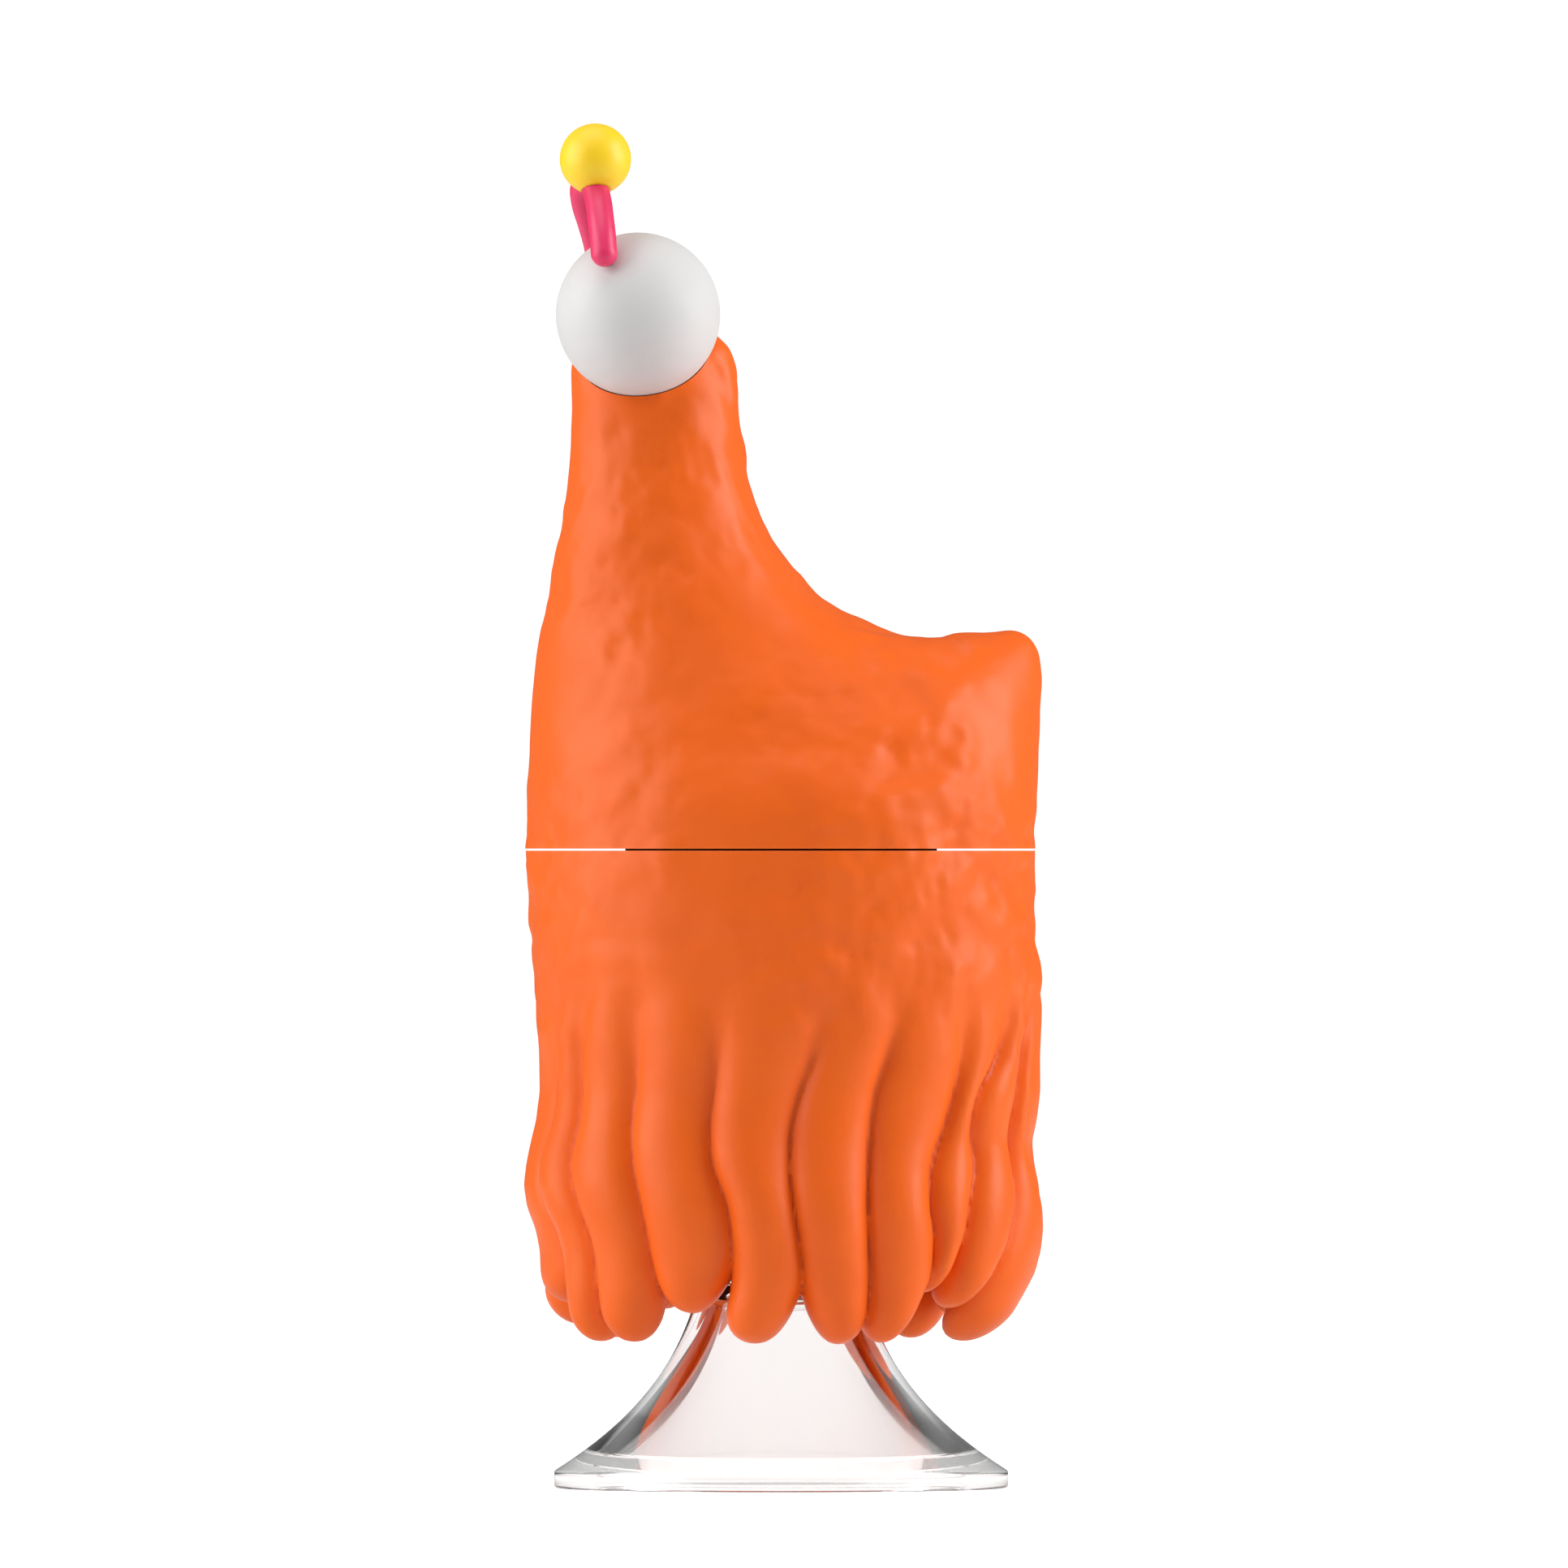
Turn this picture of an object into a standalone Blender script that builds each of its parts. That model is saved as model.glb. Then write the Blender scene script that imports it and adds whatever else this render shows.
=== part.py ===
"""Rubber chicken on a clear bell foot: a two-part hollow rubber body, head ball, comb and bobble.

Frame: metres, +Z up, +X from breast to tail, origin in the middle of the foot's standing ring.
All the driving dimensions below are in millimetres; MM turns them into metres.
"""

import math

import bmesh
import bpy
from mathutils import Matrix, Vector

MM = 0.001
CLEAR = 0.3  # gap between pieces that touch on the real object
ROUND_STEPS = 48  # facets round the large turned pieces
SMALL_STEPS = 20  # facets round the small turned pieces
DOWEL_STEPS = 12  # facets round the dowels and their holes
SHARP_ANGLE = math.radians(35)

# clear foot
FOOT_RIM_R = 63.0
FOOT_RIM_EDGE = 4.7
FOOT_NECK_R = 22.5
FOOT_TOP = 58.6
FOOT_FLARE = (  # radius and height down the flare, from the neck to the rim
    (24.5, 50.3), (27.2, 43.0), (30.7, 36.3), (35.3, 29.1),
    (41.4, 21.9), (49.3, 14.7), (55.6, 9.8), (61.7, 5.7),
)
FOOT_HOLLOW = (  # radius and height up the inside of the bell, from its mouth to its roof
    (51.5, 0.0), (51.5, 6.4), (49.6, 7.2), (40.6, 15.0), (33.4, 23.0), (27.8, 29.6),
    (22.8, 36.4), (18.8, 42.8), (15.9, 49.0), (13.0, 53.0), (8.0, 55.6), (0.0, 56.4),
)
SPIGOT_R = 14.0
SPIGOT_TOP = 77.0

# parting line between the two rubber halves
PARTING = 177.0
PARTING_GAP = 0.56
HALF_WIDTH = 70.4  # body at the parting line, along X
HALF_DEPTH = 57.0  # and along Y

# rubber skirt of the lower half
SKIRT_FLOOR = FOOT_TOP + CLEAR
FLOOR_THICK = 5.0
TOE_WALL = 10.0
TOE_COLUMNS = 5  # faces across one toe
GROOVE_DEPTH = 6.5
GROOVE_TOP = 150.0
GROOVE_FULL = 96.0
WEB_BOTTOM = 57.0
TOE_EDGES_DEG = (0, 20, 37.5, 51, 69, 87.5, 107, 128, 150, 170, 190, 210, 229, 248, 267, 284, 300, 318, 339)
TOE_TIPS = (41, 50, 53, 41, 41, 41, 49, 41, 41, 51, 45, 41, 49, 50, 50, 44, 41, 47, 42)
TOE_SWAY_DEG = 4.5

# rigid liner whose collar carries the upper half
COLLAR_R = 43.2
LINER_WALL = 2.4
LINER_FLOOR = SKIRT_FLOOR + FLOOR_THICK + CLEAR
COLLAR_TOP = 190.2
SEAL_SECTION_R = 1.2
SEAL_Z = 184.0
SEAL_GROOVE_R = 42.0

# clamp of the body on the foot
WASHER_R = 24.0
WASHER_THICK = 1.5
NUT_ACROSS_CORNERS = 41.5
NUT_THICK = 6.5

# socket over the collar, squeaker
SOCKET_R = 45.0
SOCKET_WALL = 2.4
SOCKET_TOP = 195.2
SOCKET_FOOT = 178.4
SQUEAKER_HOLE_R = 9.0

# head, comb and bobble
HEAD = Vector((-39.6, -12.5, 325.1))
HEAD_R = 22.75
SCREW_DIRECTION = Vector((0.0, 9.0, -30.0)).normalized()  # from the head's middle down into the neck
COMB_ROD_R = 3.7
COMB_PATH = (  # middle line of the bent rod, front end over the crown to the back end
    (-48.9, -31.3, 341.7), (-49.3, -29.0, 346.5), (-49.9, -25.6, 351.5), (-50.5, -21.5, 356.0),
    (-51.6, -17.0, 360.3), (-53.2, -12.8, 361.9), (-54.8, -8.6, 359.9), (-54.3, -4.4, 355.6),
    (-52.8, -0.4, 350.8), (-51.4, 3.2, 346.0), (-50.5, 5.6, 341.7),
)
BOBBLE = Vector((-51.4, -15.0, 368.1))
BOBBLE_R = 9.9
DOWEL_R = 1.1

# upper half, from the parting line to the crown: each ring goes through a point on the tail side
# and a point on the breast side, and hangs by its sag on the flanks
UPPER_RINGS = (  # (tail x, tail z), (breast x, breast z), sag
    ((70.4, 177.28), (-70.5, 177.28), 0.0),
    ((70.9, 188.0), (-70.3, 188.0), 3.0),
    ((71.7, 200.0), (-69.8, 200.0), 7.0),
    ((72.2, 214.0), (-69.4, 213.0), 12.0),
    ((72.6, 226.0), (-68.3, 226.0), 18.0),
    ((70.8, 233.5), (-66.7, 238.0), 22.0),
    ((65.0, 237.9), (-65.2, 246.0), 24.0),
    ((55.0, 236.9), (-64.0, 253.0), 25.0),
    ((40.0, 236.6), (-62.7, 260.0), 24.0),
    ((26.0, 239.8), (-61.4, 267.0), 21.0),
    ((12.0, 246.6), (-60.2, 275.0), 16.0),
    ((1.8, 257.0), (-59.0, 283.0), 11.0),
    ((-4.4, 267.0), (-58.4, 291.0), 7.0),
    ((-8.6, 278.5), (-58.0, 298.0), 4.0),
    ((-10.6, 292.0), (-58.0, 305.0), 2.0),
    ((-12.4, 304.0), (-57.9, 311.0), 0.0),
    ((-13.6, 314.0), (-56.6, 317.0), 0.0),
    ((-18.4, 320.4), (-52.6, 321.0), 0.0),
    ((-27.0, 323.0), (-43.6, 323.0), 0.0),
)
UPPER_HALF_DEPTH = (  # height, half depth along Y: full at the parting line, round in the neck
    (177.0, 57.0), (193.0, 54.5), (202.0, 51.0), (214.0, 46.5), (224.0, 43.0), (234.0, 39.0),
    (246.0, 34.0), (260.0, 29.0), (272.0, 25.0), (284.0, 22.0), (296.0, 19.0), (307.0, 16.0),
    (315.0, 12.0), (321.0, 7.5), (324.0, 3.5),
)
TAIL_THINNING = 0.45  # share of the half depth lost at the tip of the tail
TAIL_FROM_X, TAIL_FULL_X = 30.0, 66.0
TAIL_FROM_Z, TAIL_FULL_Z = 196.0, 232.0
UPPER_COLUMNS = 36
UPPER_CROWN = (-35.6, 323.6)
CAVITY_RINGS = (  # (tail x, tail z), (breast x, breast z), sag, half depths at tail, middle, breast
    ((44.0, 195.5), (-44.0, 195.5), 0.0, (44.0, 44.0, 44.0)),
    ((58.0, 204.0), (-58.0, 204.0), 3.0, (40.0, 43.0, 43.0)),
    ((61.5, 214.0), (-60.5, 216.0), 7.0, (34.0, 41.0, 41.0)),
    ((58.0, 224.0), (-58.6, 230.0), 13.0, (26.0, 36.5, 36.5)),
    ((38.0, 227.0), (-56.0, 244.0), 16.0, (27.0, 31.0, 31.0)),
    ((14.0, 232.0), (-53.6, 258.0), 17.0, (25.0, 25.0, 23.0)),
    ((-4.0, 244.0), (-51.8, 270.0), 12.0, (19.5, 19.5, 18.0)),
    ((-14.0, 262.0), (-51.0, 280.0), 6.0, (15.0, 15.0, 13.5)),
    ((-18.0, 279.0), (-50.6, 289.0), 2.0, (12.0, 12.0, 11.0)),
    ((-22.0, 291.0), (-47.6, 294.0), 0.0, (9.0, 9.0, 9.0)),
    ((-29.0, 295.0), (-42.0, 295.6), 0.0, (4.6, 4.6, 4.6)),
)
CAVITY_CROWN = (-35.6, 296.0)

COLOURS = {  # colour, roughness, metallic
    "orange_rubber": ((0.83, 0.17, 0.02), 0.45, 0.0),
    "orange_plastic": ((0.55, 0.10, 0.01), 0.40, 0.0),
    "clear": ((0.93, 0.94, 0.95), 0.05, 0.0),
    "white": ((0.87, 0.87, 0.86), 0.55, 0.0),
    "pink": ((0.85, 0.04, 0.16), 0.38, 0.0),
    "yellow": ((0.95, 0.62, 0.03), 0.38, 0.0),
    "black_rubber": ((0.02, 0.02, 0.02), 0.60, 0.0),
    "brass": ((0.80, 0.58, 0.25), 0.30, 1.0),
    "steel": ((0.60, 0.61, 0.62), 0.28, 1.0),
    "beech": ((0.62, 0.42, 0.24), 0.60, 0.0),
    "natural_plastic": ((0.78, 0.76, 0.70), 0.45, 0.0),
}


def start():
    """Empty the scene and make the collections for the parts and for the cutters."""
    for thing in list(bpy.data.objects):
        bpy.data.objects.remove(thing, do_unlink=True)
    parts = bpy.data.collections.new("rubber_chicken")
    cutters = bpy.data.collections.new("cutters")
    bpy.context.scene.collection.children.link(parts)
    bpy.context.scene.collection.children.link(cutters)
    return parts, cutters


def material(name):
    """The Principled material of a colour in the table, made once."""
    found = bpy.data.materials.get(name)
    if found:
        return found
    colour, roughness, metallic = COLOURS[name]
    made = bpy.data.materials.new(name)
    made.use_nodes = True
    shader = made.node_tree.nodes["Principled BSDF"]
    shader.inputs["Base Color"].default_value = (*colour, 1.0)
    shader.inputs["Roughness"].default_value = roughness
    shader.inputs["Metallic"].default_value = metallic
    return made


def new_object(name, mesh, look, collection=None):
    """An object with its material, smooth on round faces, in the parts or another collection."""
    thing = bpy.data.objects.new(name, mesh)
    if look:
        mesh.materials.append(material(look))
    mesh.shade_smooth()
    mesh.set_sharp_from_angle(angle=SHARP_ANGLE)
    (collection or PARTS).objects.link(thing)
    return thing


def mesh_of(name, bm):
    """A mesh datablock from a bmesh, which is freed."""
    bmesh.ops.recalc_face_normals(bm, faces=bm.faces)
    mesh = bpy.data.meshes.new(name)
    bm.to_mesh(mesh)
    bm.free()
    return mesh


def loft(name, rings, look, ends=(None, None), wrap=False, collection=None):
    """Skin over rings of points in millimetres; ends are pole points, and wrap joins last to first."""
    bm = bmesh.new()
    rows = [[bm.verts.new(Vector(p) * MM) for p in ring] for ring in rings]
    pairs = list(zip(rows, rows[1:]))
    if wrap:
        pairs.append((rows[-1], rows[0]))
    for low, high in pairs:
        count = len(low)
        for i in range(count):
            j = (i + 1) % count
            bm.faces.new((low[i], low[j], high[j], high[i]))
    for pole, row in zip(ends, (rows[0], rows[-1])):
        if pole is None:
            continue
        tip = bm.verts.new(Vector(pole) * MM)
        for i, vert in enumerate(row):
            bm.faces.new((vert, row[(i + 1) % len(row)], tip))
    return new_object(name, mesh_of(name, bm), look, collection)


def turned(name, profile, look, steps=ROUND_STEPS, closed=True, place=None):
    """A solid of revolution about Z: the profile runs down the outer side, in millimetres."""
    bm = bmesh.new()
    points = [bm.verts.new((r * MM, 0.0, z * MM)) for r, z in profile]
    for a, b in zip(points, points[1:]):
        bm.edges.new((a, b))
    if closed:
        bm.edges.new((points[-1], points[0]))
    mesh = bpy.data.meshes.new(name)
    bm.to_mesh(mesh)
    bm.free()
    thing = new_object(name, mesh, look)
    screw = thing.modifiers.new("turn", "SCREW")
    screw.steps = steps
    screw.render_steps = steps
    screw.use_merge_vertices = True
    screw.merge_threshold = 0.00002
    screw.use_smooth_shade = True
    if place:
        thing.matrix_world = place
    return thing


def tube_profile(outer, inner, bottom, top):
    """The section of a plain ring, as radius and height."""
    return ((outer, top), (outer, bottom), (inner, bottom), (inner, top))


def cylinder_cutter(name, radius, start_mm, end_mm, segments=SMALL_STEPS):
    """A cylinder from one point to another, kept out of the build as a cutter."""
    a, b = Vector(start_mm), Vector(end_mm)
    bm = bmesh.new()
    bmesh.ops.create_cone(bm, cap_ends=True, segments=segments, radius1=radius * MM,
                          radius2=radius * MM, depth=(b - a).length * MM)
    cutter = new_object(name, mesh_of(name, bm), None, CUTTERS)
    cutter.matrix_world = axis_frame((a + b) / 2, b - a)
    return as_cutter(cutter)


def ball(name, centre, radius, columns, rows, look, collection=None):
    """A sphere placed round a point, in millimetres."""
    bm = bmesh.new()
    bmesh.ops.create_uvsphere(bm, u_segments=columns, v_segments=rows, radius=radius * MM)
    thing = new_object(name, mesh_of(name, bm), look, collection)
    thing.location = centre * MM
    return thing


def as_cutter(thing):
    """Mark an object as a cutter, drawn as wire and left out of the build."""
    thing.hide_render = True
    thing.display_type = "WIRE"
    return thing


def cut(thing, cutter):
    """Take a cutter away from an object with an exact Boolean."""
    boolean = thing.modifiers.new(f"cut_{cutter.name}", "BOOLEAN")
    boolean.operation = "DIFFERENCE"
    boolean.solver = "EXACT"
    boolean.object = cutter


def axis_frame(centre, direction):
    """A placement whose +Z runs along a direction from a point, in millimetres."""
    turn = direction.to_track_quat("Z", "Y").to_matrix().to_4x4()
    return Matrix.Translation(centre * MM) @ turn


# ---------------------------------------------------------------- foot and clamp


def make_foot():
    """Clear moulding: a flared bell, open below, whose neck ends in the spigot that carries the body."""
    profile = [(0.0, SPIGOT_TOP), (SPIGOT_R - 0.8, SPIGOT_TOP), (SPIGOT_R, SPIGOT_TOP - 0.8)]
    profile += [(SPIGOT_R, FOOT_TOP), (FOOT_NECK_R - 0.6, FOOT_TOP), (FOOT_NECK_R, FOOT_TOP - 0.6)]
    profile += list(FOOT_FLARE)
    profile += [(FOOT_RIM_R - 0.4, FOOT_RIM_EDGE + 0.4), (FOOT_RIM_R, FOOT_RIM_EDGE - 0.5)]
    profile += [(FOOT_RIM_R, 0.8), (FOOT_RIM_R - 0.7, 0.0)] + list(FOOT_HOLLOW)
    return turned("pedestal_foot", profile, "clear", closed=False)


def make_clamp():
    """Washer and hexagonal nut that pull the liner and the rubber floor down on the foot."""
    bottom = LINER_FLOOR + LINER_WALL + CLEAR
    turned("clamp_washer", tube_profile(WASHER_R, SPIGOT_R + CLEAR, bottom, bottom + WASHER_THICK),
           "steel", steps=36)
    nut_bottom = bottom + WASHER_THICK + CLEAR
    bm = bmesh.new()
    bmesh.ops.create_cone(bm, cap_ends=True, segments=6, radius1=NUT_ACROSS_CORNERS / 2 * MM,
                          radius2=NUT_ACROSS_CORNERS / 2 * MM, depth=NUT_THICK * MM)
    nut = new_object("clamp_nut", mesh_of("clamp_nut", bm), "brass")
    nut.location = (0.0, 0.0, (nut_bottom + NUT_THICK / 2) * MM)
    bore = cylinder_cutter("nut_bore", SPIGOT_R + CLEAR, (0, 0, nut_bottom - 2),
                           (0, 0, nut_bottom + NUT_THICK + 2), 36)
    cut(nut, bore)


def make_liner():
    """Rigid cup inside the lower half; its rim is the round collar that the upper half sits over."""
    inner = COLLAR_R - LINER_WALL
    groove = SEAL_SECTION_R + CLEAR
    profile = (
        (COLLAR_R - 1.0, COLLAR_TOP), (COLLAR_R, COLLAR_TOP - 1.0),
        (COLLAR_R, SEAL_Z + groove), (SEAL_GROOVE_R, SEAL_Z + groove),
        (SEAL_GROOVE_R, SEAL_Z - groove), (COLLAR_R, SEAL_Z - groove),
        (COLLAR_R, LINER_FLOOR + 1.5), (COLLAR_R - 1.5, LINER_FLOOR),
        (SPIGOT_R + CLEAR, LINER_FLOOR), (SPIGOT_R + CLEAR, LINER_FLOOR + LINER_WALL),
        (inner - 2.0, LINER_FLOOR + LINER_WALL), (inner, LINER_FLOOR + LINER_WALL + 2.0),
        (inner, COLLAR_TOP - 0.6), (inner + 0.6, COLLAR_TOP),
    )
    turned("liner_collar", profile, "orange_plastic")


def make_seal():
    """Round rubber ring in the collar's groove; the upper half turns and grips on it."""
    centre = SEAL_GROOVE_R + CLEAR + SEAL_SECTION_R
    sides = 6
    profile = []
    for i in range(sides):
        angle = math.radians(90 - 360 * i / sides)
        profile.append((centre + SEAL_SECTION_R * math.cos(angle), SEAL_Z + SEAL_SECTION_R * math.sin(angle)))
    turned("collar_seal", profile, "black_rubber")


# ---------------------------------------------------------------- lower half


def smooth_step(value, low, high):
    """0 below low, 1 above high and a smooth curve between."""
    t = min(1.0, max(0.0, (value - low) / (high - low)))
    return t * t * (3.0 - 2.0 * t)


def toe_columns():
    """For each column round the skirt: its angle, its place across the toe (-1 to 1) and the toe."""
    columns = []
    edges = list(TOE_EDGES_DEG) + [360.0]
    for toe, (start_deg, end_deg) in enumerate(zip(edges, edges[1:])):
        for i in range(TOE_COLUMNS):
            across = 2.0 * i / TOE_COLUMNS - 1.0
            columns.append((start_deg + (end_deg - start_deg) * i / TOE_COLUMNS, across, toe))
    return columns


def sway_deg(z, toe):
    """How far the toes lean round the body at a height: out at the knuckles, back above and below."""
    knuckle = math.exp(-(((z - 92.0) / 22.0) ** 2))
    return TOE_SWAY_DEG * (knuckle - 0.5) * (1.0 - smooth_step(z, 118.0, 150.0)) + 0.4 * (toe % 2)


def lower_point(angle_deg, half_x, half_y, z):
    """A point on an ellipse; angles run from the tail by the front to the breast."""
    angle = math.radians(angle_deg)
    return (half_x * math.cos(angle), -half_y * math.sin(angle), z)


def make_lower_body():
    """Rubber lower half: round bore for the liner, a floor on the foot and the skirt of wavy toes."""
    columns = toe_columns()
    heights = [PARTING - PARTING_GAP / 2, 159.0, 143.0, 130.0, 118.0, 107.0, 96.0, 86.0, 76.0, 66.0]
    rings = []
    for z in heights:
        ring = []
        for angle, across, toe in columns:
            groove = GROOVE_DEPTH * (1.0 - smooth_step(z, GROOVE_FULL, GROOVE_TOP)) * abs(across) ** 3
            waist = 1.2 * math.exp(-(((z - 110.0) / 18.0) ** 2)) - 1.4 * math.exp(-(((z - 86.0) / 14.0) ** 2))
            inset = groove + waist
            ring.append(lower_point(angle + sway_deg(z, toe), HALF_WIDTH - inset, HALF_DEPTH - inset, z))
        rings.append(ring)
    for share, depth in ((0.45, 0.6), (0.12, 2.6), (0.0, 5.6), (0.22, 8.9)):
        ring = []
        for angle, across, toe in columns:
            tip = TOE_TIPS[toe] + (WEB_BOTTOM - TOE_TIPS[toe]) * abs(across) ** 4
            z = tip + share * (64.0 - tip) * (0.55 if share < 0.3 else 1.0)
            inset = GROOVE_DEPTH * abs(across) ** 3 * (1.0 - depth / TOE_WALL) + depth + 0.6
            ring.append(lower_point(angle + sway_deg(z, toe), HALF_WIDTH - inset, HALF_DEPTH - inset, z))
        rings.append(ring)
    floor_r = HALF_DEPTH - TOE_WALL - 3.0
    top = SKIRT_FLOOR + FLOOR_THICK
    flat = ((HALF_WIDTH - TOE_WALL - 2.0, HALF_DEPTH - TOE_WALL - 2.0, SKIRT_FLOOR + 1.2),
            (floor_r, floor_r - 6.0, SKIRT_FLOOR), (SPIGOT_R + CLEAR, SPIGOT_R + CLEAR, SKIRT_FLOOR),
            (SPIGOT_R + CLEAR, SPIGOT_R + CLEAR, top), (COLLAR_R + CLEAR, COLLAR_R + CLEAR, top),
            (COLLAR_R + CLEAR, COLLAR_R + CLEAR, PARTING - PARTING_GAP / 2))
    for half_x, half_y, z in flat:
        rings.append([lower_point(angle, half_x, half_y, z) for angle, _, _ in columns])
    loft("lower_body", rings, "orange_rubber", wrap=True)


# ---------------------------------------------------------------- upper half


def leaning_ring(tail, breast, sag, half_depth_at):
    """A ring through a tail-side and a breast-side point, lower by the sag on the flanks.

    half_depth_at gives the half depth from the place across (1 at the tail, -1 at the breast) and
    the height.
    """
    middle_x, middle_z = (tail[0] + breast[0]) / 2, (tail[1] + breast[1]) / 2
    half_x, half_z = (tail[0] - breast[0]) / 2, (tail[1] - breast[1]) / 2
    ring = []
    for i in range(UPPER_COLUMNS):
        angle = 2.0 * math.pi * i / UPPER_COLUMNS
        across, side = math.cos(angle), -math.sin(angle)
        z = middle_z + half_z * across - sag * side * side
        ring.append((middle_x + half_x * across, half_depth_at(across, z) * side, z))
    return ring


def outer_ring(tail, breast, sag):
    """A ring of the outside: its half depth follows the height, and the tail is thinner."""
    def half_depth_at(across, z):
        rows = list(zip(UPPER_HALF_DEPTH, UPPER_HALF_DEPTH[1:]))
        (low, at_low), (high, at_high) = next((row for row in rows if z <= row[1][0]), rows[-1])
        half_depth = at_low + (at_high - at_low) * (z - low) / (high - low)
        in_tail = smooth_step(tail[0], TAIL_FROM_X, TAIL_FULL_X) * smooth_step(z, TAIL_FROM_Z, TAIL_FULL_Z)
        return half_depth * (1.0 - TAIL_THINNING * in_tail * max(across, 0.0) ** 2)
    return leaning_ring(tail, breast, sag, half_depth_at)


def cavity_ring(tail, breast, sag, half_depths):
    """A ring of the hollow, with half depths given near the tail, in the middle and near the breast."""
    at_tail, at_middle, at_breast = half_depths

    def half_depth_at(across, z):
        return at_middle + ((at_tail if across > 0 else at_breast) - at_middle) * across * across
    return leaning_ring(tail, breast, sag, half_depth_at)


def make_upper_body():
    """Rubber upper half: breast, back, tail and neck round a hollow, with a seat for the head ball."""
    outer = [outer_ring(*ring) for ring in UPPER_RINGS]
    bore_r = SOCKET_R + SOCKET_WALL + CLEAR
    foot, roof = PARTING + PARTING_GAP / 2, SOCKET_TOP + CLEAR
    round_bore = (bore_r, bore_r, bore_r)
    socket = [cavity_ring((bore_r, z), (-bore_r, z), 0.0, round_bore) for z in (foot, roof)]
    hollow = [cavity_ring(*ring) for ring in CAVITY_RINGS]
    rings = outer[::-1] + socket + hollow
    crown = (UPPER_CROWN[0], 0.0, UPPER_CROWN[1])
    inner_crown = (CAVITY_CROWN[0], 0.0, CAVITY_CROWN[1])
    body = loft("upper_body", rings, "orange_rubber", ends=(crown, inner_crown))
    cut(body, as_cutter(ball("head_seat", HEAD, HEAD_R + CLEAR, 28, 20, None, CUTTERS)))
    along = SCREW_DIRECTION
    cut(body, cylinder_cutter("washer_pad", 6.0, HEAD + along * 28.0, HEAD + along * 39.0))
    cut(body, cylinder_cutter("screw_way", 2.3, HEAD + along * 20.0, HEAD + along * 30.0))


def make_socket():
    """Rigid inverted cup glued in the upper half, which drops over the collar and holds the squeaker."""
    outer = SOCKET_R + SOCKET_WALL
    under = SOCKET_TOP - SOCKET_WALL
    profile = (
        (SQUEAKER_HOLE_R, SOCKET_TOP), (outer - 0.8, SOCKET_TOP), (outer, SOCKET_TOP - 0.8),
        (outer, SOCKET_FOOT), (SOCKET_R + 0.6, SOCKET_FOOT), (SOCKET_R, SOCKET_FOOT + 0.8),
        (SOCKET_R, under), (SQUEAKER_HOLE_R, under),
    )
    turned("socket_cup", profile, "orange_plastic")


def make_squeaker():
    """Reed squeaker in the socket's roof: flanged body, reed disc and cap, all with an air way."""
    under = SOCKET_TOP - SOCKET_WALL - CLEAR
    outer = SQUEAKER_HOLE_R - CLEAR
    body = ((outer, under + 14.0), (outer, under), (11.5, under), (11.5, under - 1.6),
            (2.0, under - 1.6), (2.0, under + 2.0), (7.0, under + 2.0), (7.0, under + 14.0))
    turned("squeaker_body", body, "natural_plastic", steps=28)
    reed = under + 2.0 + CLEAR
    turned("squeaker_reed", tube_profile(6.7, 1.2, reed, reed + 0.7), "brass", steps=28)
    cap = reed + 0.7 + CLEAR
    turned("squeaker_cap", tube_profile(6.7, 2.5, cap, cap + 8.0), "natural_plastic", steps=28)


# ---------------------------------------------------------------- head


def make_head():
    """White ball on the neck with its blind holes, its brass insert, and the screw and washer inside."""
    head = ball("head_ball", HEAD, HEAD_R, 32, 20, "white")
    along = SCREW_DIRECTION
    cut(head, cylinder_cutter("insert_hole", 3.5, HEAD + along * 10.0, HEAD + along * 26.0))
    for name, end in (("front", COMB_PATH[0]), ("back", COMB_PATH[-1])):
        way = (Vector(end) - HEAD).normalized()
        hole = cylinder_cutter(f"head_dowel_hole_{name}", DOWEL_R + CLEAR, HEAD + way * 17.7,
                               HEAD + way * 26.0, DOWEL_STEPS)
        cut(head, hole)
    frame = axis_frame(HEAD, along)
    turned("head_insert", tube_profile(3.2, 2.2, 10.4, 22.2), "brass", steps=SMALL_STEPS, place=frame)
    turned("head_washer", tube_profile(5.2, 2.2, 28.3, 29.3), "steel", steps=SMALL_STEPS, place=frame)
    screw = ((0.0, 32.4), (2.4, 32.4), (3.6, 31.4), (3.6, 29.6),
             (1.9, 29.6), (1.9, 12.6), (1.4, 12.0), (0.0, 12.0))
    turned("head_screw", screw, "steel", steps=SMALL_STEPS, closed=False, place=frame)


# ---------------------------------------------------------------- comb and bobble


def smooth_path(points, between):
    """Catmull-Rom line through control points, with extra points between each pair."""
    line = [Vector(p) for p in points]
    line = [line[0] * 2 - line[1]] + line + [line[-1] * 2 - line[-2]]
    path = []
    for p0, p1, p2, p3 in zip(line, line[1:], line[2:], line[3:]):
        for i in range(between):
            t = i / between
            path.append(0.5 * (2 * p1 + (p2 - p0) * t + (2 * p0 - 5 * p1 + 4 * p2 - p3) * t ** 2
                               + (3 * p1 - p0 - 3 * p2 + p3) * t ** 3))
    return path + [Vector(points[-1])]


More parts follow.
